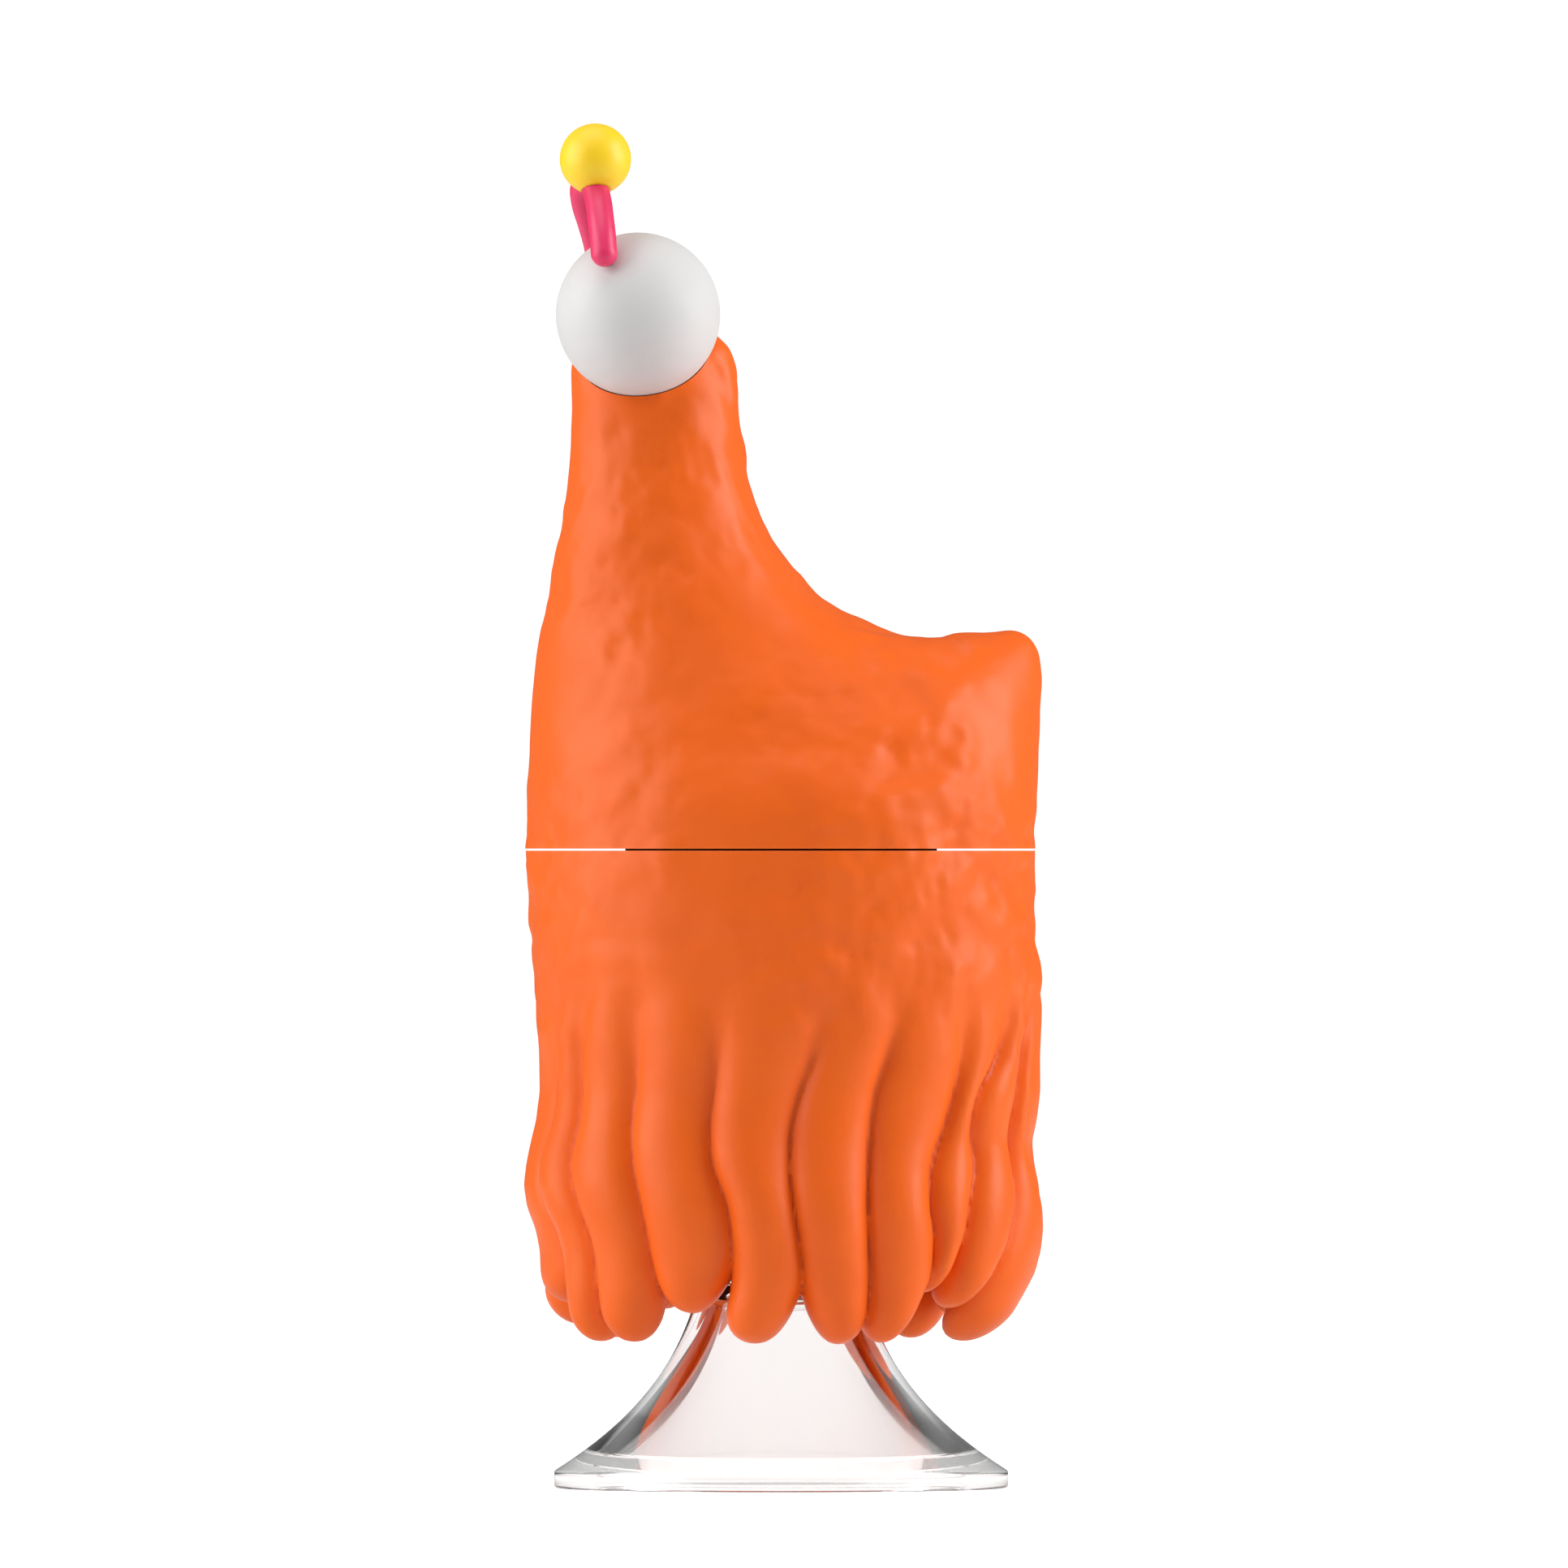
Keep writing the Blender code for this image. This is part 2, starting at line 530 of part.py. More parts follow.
def rod_mesh(name, radius, rounded):
    """The bent comb rod as a mesh, from a curve with a round bevel; rounded ends are half balls."""
    path = [(point, 1.0) for point in smooth_path(COMB_PATH, 2)]
    if rounded:
        for end, into in ((0, 1), (-1, -2)):
            out = (path[end][0] - path[into][0]).normalized()
            ball = []
            for turn in (30, 60, 80):
                angle = math.radians(turn)
                ball.append((path[end][0] + out * radius * math.sin(angle), math.cos(angle)))
            path = ball[::-1] + path if end == 0 else path + ball
    curve = bpy.data.curves.new(name, "CURVE")
    curve.dimensions = "3D"
    curve.bevel_depth = radius * MM
    curve.bevel_resolution = 3
    curve.use_fill_caps = True
    spline = curve.splines.new("POLY")
    spline.points.add(len(path) - 1)
    for point, (place, share) in zip(spline.points, path):
        point.co = (*(place * MM), 1.0)
        point.radius = share
    guide = bpy.data.objects.new(name, curve)
    CUTTERS.objects.link(guide)
    bpy.context.view_layer.update()
    mesh = bpy.data.meshes.new_from_object(guide.evaluated_get(bpy.context.evaluated_depsgraph_get()))
    bm = bmesh.new()
    bm.from_mesh(mesh)
    bmesh.ops.remove_doubles(bm, verts=bm.verts, dist=0.000005)
    bm.transform(guide.matrix_world)
    bpy.data.objects.remove(guide, do_unlink=True)
    return mesh_of(name, bm)


def make_comb():
    """Bent round rod astride the head, front to back, pinned to the head by two hidden dowels."""
    comb = new_object("comb", rod_mesh("comb", COMB_ROD_R, True), "pink")
    for name, end in (("front", COMB_PATH[0]), ("back", COMB_PATH[-1])):
        way = (Vector(end) - HEAD).normalized()
        hole = cylinder_cutter(f"comb_dowel_hole_{name}", DOWEL_R + CLEAR, HEAD + way * 22.0,
                               HEAD + way * 28.3, DOWEL_STEPS)
        cut(comb, hole)
        profile = ((0.0, 28.0), (DOWEL_R, 28.0), (DOWEL_R, 18.0), (0.0, 18.0))
        turned(f"comb_dowel_{name}", profile, "beech", steps=DOWEL_STEPS, closed=False,
               place=axis_frame(HEAD, way))
    crown = Vector(COMB_PATH[5])
    cut(comb, cylinder_cutter("crown_hole", DOWEL_R + CLEAR, crown, crown + Vector((0, 0, 6)), DOWEL_STEPS))


def make_bobble():
    """Yellow ball pressed on the comb's crown, saddled over the rod and held by a short dowel."""
    bobble = ball("bobble", BOBBLE, BOBBLE_R, 24, 16, "yellow")
    saddle = new_object("saddle", rod_mesh("saddle", COMB_ROD_R + CLEAR, True), None, CUTTERS)
    cut(bobble, as_cutter(saddle))
    crown = Vector(COMB_PATH[5])
    hole = cylinder_cutter("bobble_hole", DOWEL_R + CLEAR, crown + Vector((0, 0, 2)),
                           crown + Vector((0, 0, 9.5)), DOWEL_STEPS)
    cut(bobble, hole)
    profile = ((0.0, 9.2), (DOWEL_R, 9.2), (DOWEL_R, 0.3), (0.0, 0.3))
    turned("bobble_dowel", profile, "beech", steps=DOWEL_STEPS, closed=False,
           place=Matrix.Translation(crown * MM))


PARTS, CUTTERS = start()
make_foot()
make_clamp()
make_liner()
make_seal()
make_lower_body()
make_upper_body()
make_socket()
make_squeaker()
make_head()
make_comb()
make_bobble()
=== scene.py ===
# %% [markdown]
# # A rubber chicken on a clear foot
# The object is a novelty figure: two hollow orange rubber halves that part on a level line, a white
# ball for a head, a pink bent rod for a comb, a yellow bobble on top and a clear flared foot.
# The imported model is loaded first. It is the frame: it says where each piece sits and which body
# carries it, so nothing has to be fitted by eye.

# %% Load the frame
import itertools
import math

import bpy
import numpy as np
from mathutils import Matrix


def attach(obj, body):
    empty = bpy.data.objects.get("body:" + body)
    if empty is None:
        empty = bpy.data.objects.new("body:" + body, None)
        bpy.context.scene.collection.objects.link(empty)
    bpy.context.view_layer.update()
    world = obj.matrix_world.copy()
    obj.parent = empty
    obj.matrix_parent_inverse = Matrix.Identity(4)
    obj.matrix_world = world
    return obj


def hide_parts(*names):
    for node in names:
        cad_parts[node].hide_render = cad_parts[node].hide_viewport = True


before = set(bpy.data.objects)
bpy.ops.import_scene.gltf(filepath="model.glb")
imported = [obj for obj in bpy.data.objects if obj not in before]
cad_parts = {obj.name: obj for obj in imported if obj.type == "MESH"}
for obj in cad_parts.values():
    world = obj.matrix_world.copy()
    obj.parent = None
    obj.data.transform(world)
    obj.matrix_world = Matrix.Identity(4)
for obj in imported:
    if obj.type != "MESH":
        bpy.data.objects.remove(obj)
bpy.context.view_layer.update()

MM = 0.001

# %% [markdown]
# ## Small tools
# Every piece below is a surface worked out with whole arrays of numbers. Two helpers are used
# everywhere: one draws a smooth curve through a table of measured rows, and one fades a value in
# between two limits. A third turns arrays of points and faces into a mesh.

# %% Smooth curves and fades


def through(table, at):
    """Smooth curve through the rows of a table, read at any row number, also between rows.

    Catmull-Rom formula: between rows 1 and 2 the value is half of 2*r1 + (r2 - r0)*t
    + (2*r0 - 5*r1 + 4*r2 - r3)*t^2 + (3*r1 - r0 - 3*r2 + r3)*t^3.
    """
    table = np.asarray(table, float)
    at = np.clip(np.asarray(at, float), 0, len(table) - 1)
    first = np.minimum(at.astype(int), len(table) - 2)
    t = (at - first).reshape(at.shape + (1,) * (table.ndim - 1))
    rows = np.concatenate([2 * table[:1] - table[1:2], table, 2 * table[-1:] - table[-2:-1]])
    r0, r1, r2, r3 = (rows[first + k] for k in range(4))
    return 0.5 * (2 * r1 + (r2 - r0) * t + (2 * r0 - 5 * r1 + 4 * r2 - r3) * t**2
                  + (3 * r1 - r0 - 3 * r2 + r3) * t**3)


def fade(value, low, high):
    """0 at low, 1 at high, and between them the smooth step 3*t^2 - 2*t^3."""
    t = np.clip((np.asarray(value, float) - low) / (high - low), 0.0, 1.0)
    return t * t * (3.0 - 2.0 * t)


# %% From arrays to a mesh


def piece_from(name, points_mm, faces, sharp_deg=50.0):
    """An object whose mesh has these points, in millimetres, and faces, smooth except on corners."""
    mesh = bpy.data.meshes.new(name)
    mesh.from_pydata((np.asarray(points_mm) * MM).tolist(), [], [list(map(int, f)) for f in faces])
    mesh.validate()
    mesh.shade_smooth()
    mesh.set_sharp_from_angle(angle=math.radians(sharp_deg))
    piece = bpy.data.objects.new(name, mesh)
    bpy.context.scene.collection.objects.link(piece)
    return piece


def grid_faces(rows, columns):
    """Quads between neighbouring rows of a grid whose columns close on themselves."""
    r = np.arange(rows - 1)[:, None]
    c = np.arange(columns)[None, :]
    n = (c + 1) % columns
    quads = np.stack([r * columns + c, r * columns + n, (r + 1) * columns + n, (r + 1) * columns + c], -1)
    return quads.reshape(-1, 4).tolist()


def cap_faces(ring_start, columns, pole, up):
    """Triangles from a ring of points to its pole."""
    ring = [ring_start + c for c in range(columns)]
    pairs = zip(ring, ring[1:] + ring[:1])
    return [[a, b, pole] if up else [b, a, pole] for a, b in pairs]


def closed_grid(name, rings, low_pole, high_pole, sharp_deg=50.0):
    """A closed skin over an array of rings, rows by columns by 3, with a pole at each end."""
    rows, columns, _ = rings.shape
    points = np.concatenate([rings.reshape(-1, 3), [low_pole, high_pole]])
    faces = grid_faces(rows, columns)
    faces += cap_faces(0, columns, rows * columns, up=False)
    faces += cap_faces((rows - 1) * columns, columns, rows * columns + 1, up=True)
    return piece_from(name, points, faces, sharp_deg)


def turned(name, profile, columns=144, sharp_deg=35.0):
    """A turned solid: radius and height rows run up from a point on the axis to a point on the axis.

    A point of the skin is (r*cos a, r*sin a, z) for every row (r, z) and every angle a.
    """
    profile = np.asarray(profile, float)
    angle = np.linspace(0, 2 * math.pi, columns, endpoint=False)
    r, z = profile[1:-1, 0][:, None], profile[1:-1, 1][:, None]
    rings = np.stack([r * np.cos(angle), r * np.sin(angle), z + 0 * angle], -1)
    return closed_grid(name, rings, (0, 0, profile[0, 1]), (0, 0, profile[-1, 1]), sharp_deg)


def count(piece):
    """Triangles of a piece."""
    return sum(len(p.vertices) - 2 for p in piece.data.polygons)


# %% [markdown]
# ## Carving
# Holes and seats are cut with Boolean modifiers that are applied at once, so that the finished
# piece is plain geometry. The Manifold solver is quick and keeps closed shapes closed.

# %% Carve a piece


def carve(piece, cutters, sharp_deg=50.0):
    """Take each cutter away from the piece, then throw the cutters away."""
    for cutter in cutters:
        boolean = piece.modifiers.new("carve", "BOOLEAN")
        boolean.operation = "DIFFERENCE"
        boolean.solver = "MANIFOLD"
        boolean.object = cutter
    bpy.context.view_layer.update()
    finished = bpy.data.meshes.new_from_object(piece.evaluated_get(bpy.context.evaluated_depsgraph_get()))
    finished.name = piece.name
    piece.modifiers.clear()
    piece.data = finished
    finished.shade_smooth()
    finished.set_sharp_from_angle(angle=math.radians(sharp_deg))
    for cutter in cutters:
        bpy.data.objects.remove(cutter, do_unlink=True)


def ball(name, centre, radius, rows=48, columns=96):
    """A fine ball: a point is centre + radius*(cos a*cos b, sin a*cos b, sin b)."""
    b = np.linspace(-math.pi / 2, math.pi / 2, rows + 2)[1:-1, None]
    a = np.linspace(0, 2 * math.pi, columns, endpoint=False)[None, :]
    rings = np.stack([np.cos(a) * np.cos(b), np.sin(a) * np.cos(b), np.sin(b) + 0 * a], -1)
    centre = np.asarray(centre, float)
    return closed_grid(name, centre + radius * rings, centre - (0, 0, radius), centre + (0, 0, radius))


BULGE = 1e-3


def rod(name, path, radii, columns=48):
    """A round bar along a path: each ring stands square to the path there, and its two end discs
    bulge by a micrometre to keep the skin closed."""
    path = np.asarray(path, float)
    along = np.gradient(path, axis=0)
    along /= np.linalg.norm(along, axis=1, keepdims=True)
    side = np.cross(along, (1.0, 0.15, 0.05))
    side /= np.linalg.norm(side, axis=1, keepdims=True)
    up = np.cross(side, along)
    angle = np.linspace(0, 2 * math.pi, columns, endpoint=False)[None, :, None]
    ring = np.cos(angle) * side[:, None] + np.sin(angle) * up[:, None]
    rings = path[:, None] + np.asarray(radii, float)[:, None, None] * ring
    return closed_grid(name, rings, path[0] - BULGE * along[0], path[-1] + BULGE * along[-1])


# %% [markdown]
# ## Lumps of hand-modelled rubber
# The rubber skin is not a perfect curve: it carries soft hills and dents from a few millimetres to
# a few centimetres wide. Random numbers on a lattice, smoothed between the lattice points, give
# such hills. They are real geometry here, because they show in the outline and in the highlights.

# %% Lumps
LATTICE = 32  # corners along each side of the cube of random numbers, which then repeats


def hills(points, size, seed):
    """Random soft hills, about size millimetres wide, between -1 and 1.

    Each corner of a cubic lattice holds a random number, and a point takes the mean of the eight
    corners round it, weighted by 6*t^5 - 15*t^4 + 10*t^3 of its place in the cube on each axis.
    """
    rng = np.random.default_rng(seed)
    lattice = rng.uniform(-1, 1, (LATTICE, LATTICE, LATTICE))
    turn = np.linalg.qr(rng.normal(size=(3, 3)))[0]
    place = points @ turn / size + 50.0
    corner = np.floor(place).astype(int)
    t = place - corner
    t = t**3 * (t * (t * 6 - 15) + 10)
    total = np.zeros(len(points))
    for step in itertools.product((0, 1), repeat=3):
        weight = np.prod(np.where(np.array(step) == 1, t, 1 - t), axis=1)
        i, j, k = ((corner + step) % LATTICE).T
        total += weight * lattice[i, j, k]
    return total


def rubber_lumps(points):
    """How far the rubber skin stands out from its plain shape, in millimetres, at each point.

    Wide hills lie everywhere. Small ones come only where a mask of still wider hills is high, and
    are strongest in two worked places: under the tail and on the front of the neck.
    """
    x, y, z = points.T
    above_toes = fade(z, 100, 140)
    hand_worked = 0.25 + 0.75 * fade(hills(points, 42, 5), -0.15, 0.35)
    tail_side = np.exp(-(((x - 46) / 20) ** 2 + ((y + 38) / 30) ** 2 + ((z - 172) / 48) ** 2))
    neck_front = np.exp(-(((x + 34) / 13) ** 2 + ((y + 24) / 18) ** 2 + ((z - 274) / 17) ** 2))
    wide = 0.55 * hills(points, 34, 1) + 0.36 * hills(points, 17, 2) * (0.4 + 0.6 * above_toes)
    small = 0.62 * hills(points, 11, 3) + 0.42 * hills(points, 6.5, 4) + 0.20 * hills(points, 3.8, 6)
    return wide + small * (hand_worked + 1.3 * tail_side + 0.5 * neck_front) * above_toes


def push_out(piece, distance):
    """Move each point along its normal by distance(points), given and taken in millimetres."""
    mesh = piece.data
    spots = np.empty(len(mesh.vertices) * 3)
    normals = np.empty_like(spots)
    mesh.vertices.foreach_get("co", spots)
    mesh.vertex_normals.foreach_get("vector", normals)
    spots = spots.reshape(-1, 3) / MM
    spots += normals.reshape(-1, 3) * distance(spots)[:, None]
    mesh.vertices.foreach_set("co", (spots * MM).ravel())
    mesh.update()


# %% [markdown]
# ## The clear foot
# On the real object this is one clear moulding: a flared bell on a flat rim, open below, with a
# thick neck that carries the body on a hidden spigot. A turned profile is the natural way to make
# it. Clear pieces show every kink, so both sides of the bell are smooth curves: a cubic fitted to
# the outline, and the same cubic again, one wall further in.

# %% Foot profile
PARTING = 177.0
FOOT_TOP, NECK_TOP, FLARE_FOOT = 58.6, 58.0, 6.0
FLARE = np.array([(22.5, 58.0), (22.9, 56.0), (24.5, 50.3), (27.2, 43.0), (30.7, 36.3), (35.3, 29.1),
                  (41.4, 21.9), (49.3, 14.7), (55.6, 9.8), (61.2, 6.0)])
BELL_WALL = 8.4
MOUTH_R, MOUTH_TOP, BELL_TOP, ROOF_RISE = 51.5, 6.4, 49.0, 7.4
cubic = np.polyfit(FLARE[:, 1], FLARE[:, 0], 3)
flare_z, bell_z = np.linspace(NECK_TOP, FLARE_FOOT, 70), np.linspace(MOUTH_TOP + 0.8, BELL_TOP, 60)
flare = np.stack([np.polyval(cubic, flare_z), flare_z], -1)
bell = np.stack([np.polyval(cubic, bell_z) - BELL_WALL, bell_z], -1)
spigot = [(0.0, 77.0), (13.2, 77.0), (13.8, 76.8), (14.0, 76.2), (14.0, FOOT_TOP)]
shoulder = [(21.7, FOOT_TOP), (22.2, 58.45)]
rim = [(62.3, 5.3), (62.8, 4.9), (63.0, 4.4), (63.0, 3.4), (63.0, 2.2), (63.0, 1.0), (62.8, 0.45),
       (62.3, 0.12)]
mouth = [(61.6, 0.0), (MOUTH_R + 0.4, 0.0), (MOUTH_R, 0.4), (MOUTH_R, MOUTH_TOP - 0.6),
         (MOUTH_R - 0.5, MOUTH_TOP)]
roof_turn = np.radians(np.linspace(9, 81, 9))
roof = np.stack([bell[-1, 0] * np.cos(roof_turn), BELL_TOP + ROOF_RISE * np.sin(roof_turn)], -1)
profile = np.concatenate([spigot, shoulder, flare, rim, mouth, bell, roof, [(0.0, BELL_TOP + ROOF_RISE)]])
clear_foot = turned("clear_foot", profile[::-1], columns=192)
print("clear foot:", count(clear_foot), "triangles")

# %% [markdown]
# ## The lower half: a skirt of wavy toes
# The lower half is one rubber moulding. Level with the parting line it is a plain oval. Lower down,
# soft valleys open between knuckles, turn into sharp creases, and end in separate blunt toes that
# overlap and hang round the foot. Such a shape has no simple grid, so it is made as a field of
# numbers: negative in the rubber and positive outside. Each toe is a stretched superellipse whose
# place and width are tables against height, the fields are joined by a smooth minimum, and the
# skin is drawn where the field goes through zero.

# %% Oval and its swelling with height
OVAL_X, OVAL_Y = 70.4, 57.0
SWELL_Z = np.array([182, 176, 170, 160, 150, 142, 134, 126, 118, 110, 102, 96, 90, 84, 78, 72, 66, 60, 54,
                    48, 42, 36.0])
SWELL_TAIL = np.array([-.1, -.1, -.7, -.3, .2, 1.3, 2.2, 1.5, 1.3, 1.2, .2, -1.0, -.2, 1.4, 2.3, 2.3, 1.7,
                       .2, -2.8, -6, -9.5, -11])
SWELL_BREAST = np.array([0, 0, -.4, -.6, -1.0, -2.2, -2.2, -2.4, -3.0, -3.2, -2.5, -1.1, .2, .9, 0, -2.2,
                         -3.2, -3.2, -3.0, -3.6, -4.4, -5])
SWELL_FRONT = np.array([0, 0, 0, 0, 0, -.2, -.4, -.8, -1.3, -1.7, -1.4, -.7, .3, 1.2, 1.5, 1.2, .6, 0, -.8,
                        -1.8, -2.8, -3.5])


def swelling(angle, z):
    """How far the toes stand out from the oval: tail, breast and front profiles mixed by direction."""
    tail, breast, front = (np.interp(z, SWELL_Z[::-1], swell[::-1])
                           for swell in (SWELL_TAIL, SWELL_BREAST, SWELL_FRONT))
    across = np.cos(angle)
    return np.where(across > 0, tail, breast) * across**2 + front * (1 - across**2)


# %% Where the creases run
CREASE_TOP, CREASE_STEP = 150, 10  # height of the first number of a crease and step down to the next
CREASES = {  # angle from the tail round by the front, in degrees, at each height
    0: (6, 7, 8, 11, 13, 12, 6, 0, -6, -5, -2, 0),
    1: (13, 14, 16, 18, 19, 21, 20, 21, 24, 27, 29, 30),
    2: (25, 25, 26, 29, 36, 38, 37, 40, 42, 44, 46, 46),
    3: (40, 42, 43, 43, 45, 48, 52, 53, 52, 52, 53, 54),
    4: (58, 60, 62, 64, 66.5, 68, 69, 69.4, 69, 68.5, 68.5, 68.5),
    5: (78, 79, 80.5, 82.5, 85.5, 87.6, 88, 87.3, 86, 85, 85, 85),
    6: (108, 107, 105.2, 105, 106, 107, 106.2, 103, 101.6, 101.3, 102, 102.5),
    7: (127, 127, 126.5, 126.5, 127.3, 128.2, 127, 124.5, 122.8, 122, 121.8, 121.5),
    8: (141, 142, 144.6, 146.2, 146.8, 148, 149, 145.8, 142.4, 141, 141, 141),
    9: (154, 155, 157, 159, 161.5, 163.5, 167.5, 164, 159.2, 157.2, 157, 157),
    10: (184, 185, 187, 190, 193, 196, 197, 193, 188, 187, 187, 188),
    11: (207, 207, 209, 211, 214, 216, 214, 211, 208, 207, 208, 209),
    12: (226, 226, 227, 229, 233, 236, 235, 231, 229, 228, 228, 228),
    13: (248, 247, 246, 247, 250, 254, 253, 249, 247, 247, 248, 248),
    14: (264, 265, 267, 269, 271, 272, 270, 267, 266, 266, 267, 267),
    15: (284, 283, 283, 285, 288, 291, 290, 286, 284, 283, 284, 284),
    16: (299, 300, 302, 304, 305, 304, 302, 299, 298, 299, 300, 300),
    17: (317, 317, 318, 321, 324, 325, 322, 319, 317, 317, 318, 318),
    18: (337, 338, 340, 342, 343, 342, 339, 336, 336, 337, 339, 339),
}
# each toe: its tip's height, lift off the oval, half thickness, length of its round end, and the
# shift of its two sides at the tip, in degrees, tail side and breast side
TOES = (
    (41.0, 0.3, 7.6, 9.0, 4.0, -4.0), (50.6, 0.2, 6.8, 9.0, 5.0, -1.0), (55.0, -0.6, 6.8, 9.5, 3.0, 0.0),
    (41.2, 0.7, 7.6, 9.5, 3.5, -1.0), (40.9, 0.3, 7.6, 9.5, 0.5, -4.5), (40.9, 0.5, 7.6, 9.5, 5.0, 1.5),
    (48.9, 0.5, 7.4, 10.0, 4.5, -1.5), (40.9, 0.6, 7.6, 9.5, 4.5, -1.0), (40.8, -0.2, 7.0, 9.0, 1.0, -2.0),
    (51.2, 0.0, 7.0, 9.5, 2.0, -4.0), (45.0, 0.4, 7.4, 9.5, 2.0, -3.0), (41.2, 0.0, 7.6, 9.5, 3.0, -2.0),
    (48.8, 0.5, 7.4, 9.5, 3.0, -3.0), (55.0, 0.0, 7.2, 9.5, 2.0, -3.0), (56.0, 0.4, 7.2, 9.5, 3.0, -2.0),
    (46.0, 0.0, 7.4, 9.5, 2.0, -3.0), (41.0, 0.5, 7.6, 9.5, 2.5, -2.5), (47.0, 0.0, 7.4, 9.5, 3.0, -3.0),
    (43.0, 0.4, 7.6, 9.5, 2.0, -4.0),
)
print("toes:", len(TOES), "creases:", len(CREASES))

# %% The field of numbers
CELL = np.array([0.9, 0.9, 1.5])
FIELD_LOW, FIELD_HIGH = np.array([-75.0, -61.0, 37.0]), np.array([77.0, 61.0, 183.0])
SKIRT_FLOOR = 58.9
TOP_MARGIN = 2.2  # how far below the lattice's top the rubber ends
CORE_RECESS = 8.0  # how far the core lies behind the toes
ROUND = 2.05  # exponent of a toe's section: 2 is an ellipse, more is squarer
TOE_DEPTH = 1.22  # a toe's half depth over its half thickness in the table
NARROWEST_HALF, TOE_ROOM = 4.0, 10.0  # least half width of a toe, and the space worked on round it


def skirt_field():
    """The field of the lower half on a lattice of points; the rubber is where it is below zero.

    The core is an oval that shrinks behind the toes. A toe's field is the superellipse norm of the
    place across, through and past the round end, less one, times its thinnest half. Fields a and b
    join as min(a, b) - h^2*k/4 with h = max(k - |a - b|, 0)/k, where k is the width of the blend.
    """
    axes = [np.arange(low, high, step) for low, high, step in zip(FIELD_LOW, FIELD_HIGH, CELL)]
    x, y, z = (a.reshape([-1 if i == n else 1 for i in range(3)]) for n, a in enumerate(axes))
    heights = axes[2]
    angle = np.arctan2(-y / OVAL_Y, x / OVAL_X)
    oval = np.hypot(x / OVAL_X, y / OVAL_Y)
    reach = np.hypot(x, y) / np.maximum(oval, 1e-6)
    out = np.hypot(x, y) - reach - swelling(angle, z) + CORE_RECESS * (1 - fade(z, 118, 158))
    field = np.maximum(out, SKIRT_FLOOR - z)
    blend = np.interp(heights, [60, 96, 112, 124, 138, 150, 166], [0.8, 0.9, 1.3, 2.8, 5.5, 5.0, 0.5])
    overlap = np.interp(heights, [46, 60, 100, 118, 134, 150], [1.0, 1.0, 1.01, 1.03, 1.10, 1.3])
    level = (CREASE_TOP - heights) / CREASE_STEP
    for toe, (tip, lift, thin, round_end, tail_shift, breast_shift) in enumerate(TOES):
        thick = thin * TOE_DEPTH
        near_tip = 1 - fade(heights, tip + 1, tip + 20)
        start = through(CREASES[toe], level) + tail_shift * near_tip
        stop = through(CREASES[(toe + 1) % len(TOES)], level) + breast_shift * near_tip
        start, stop = np.radians(start), np.radians(stop + 360 * (toe == len(TOES) - 1))
        middle = (start + stop) / 2
        chord = np.hypot(OVAL_X * (np.cos(stop) - np.cos(start)), OVAL_Y * (np.sin(stop) - np.sin(start)))
        half_width = np.maximum(chord / 2 * overlap, NARROWEST_HALF)
        normal = np.stack([np.cos(middle) / OVAL_X, -np.sin(middle) / OVAL_Y])
        normal /= np.linalg.norm(normal, axis=0)
        sunk = 1.6 * fade(heights, 126, 150) + 12 * fade(heights, 145, 168)
        stand = swelling(middle, heights) + lift - thick - sunk
        centre_x = OVAL_X * np.cos(middle) + normal[0] * stand
        centre_y = -OVAL_Y * np.sin(middle) + normal[1] * stand
        room = half_width.max() + TOE_ROOM
        ix = (axes[0] > centre_x.min() - room) & (axes[0] < centre_x.max() + room)
        iy = (axes[1] > centre_y.min() - room) & (axes[1] < centre_y.max() + room)
        dx, dy = x[ix] - centre_x, y[:, iy] - centre_y
        across = np.abs(dx * normal[1] - dy * normal[0]) / half_width
        through_it = np.abs(dx * normal[0] + dy * normal[1]) / thick
        past_end = np.maximum(tip + round_end - heights, 0) / round_end
        norm = (across**ROUND + through_it**ROUND + past_end**ROUND) ** (1 / ROUND)
        here = (norm - 1) * np.minimum(half_width, thick)
        block = np.ix_(ix, iy, np.ones(len(heights), bool))
        both = np.maximum(blend - np.abs(field[block] - here), 0) / blend
        field[block] = np.minimum(field[block], here) - both**2 * blend / 4
    return np.maximum(field, z - FIELD_HIGH[2] + TOP_MARGIN)


# %% The skin of a field
PINCH_ROUNDS, JUST_INSIDE = 12, -0.05


def unpinched(field):
    """The field with its pinches filled: where two opposite corners of a lattice square are inside
    and the other two outside, the skin would cross itself, so the nearer outside corner goes in."""
    field = field.copy()
    for _ in range(PINCH_ROUNDS):
        pinches = 0
        for one, two in ((0, 1), (1, 2), (0, 2)):
            sides = []
            for u, v in ((0, 0), (1, 0), (1, 1), (0, 1)):
                cut = [slice(None)] * 3
                cut[one] = slice(1, None) if u else slice(0, -1)
                cut[two] = slice(1, None) if v else slice(0, -1)
                sides.append(field[tuple(cut)])
            a, b, c, d = sides
            for p, q, r, s in ((a, b, c, d), (b, c, d, a)):
                crossed = (p < 0) & (r < 0) & (q >= 0) & (s >= 0)
                pinches += crossed.sum()
                first = crossed & (q <= s)
                q[first] = JUST_INSIDE
                s[crossed & ~first] = JUST_INSIDE
        if not pinches:
            break
    print("pinches left:", pinches)
    return field


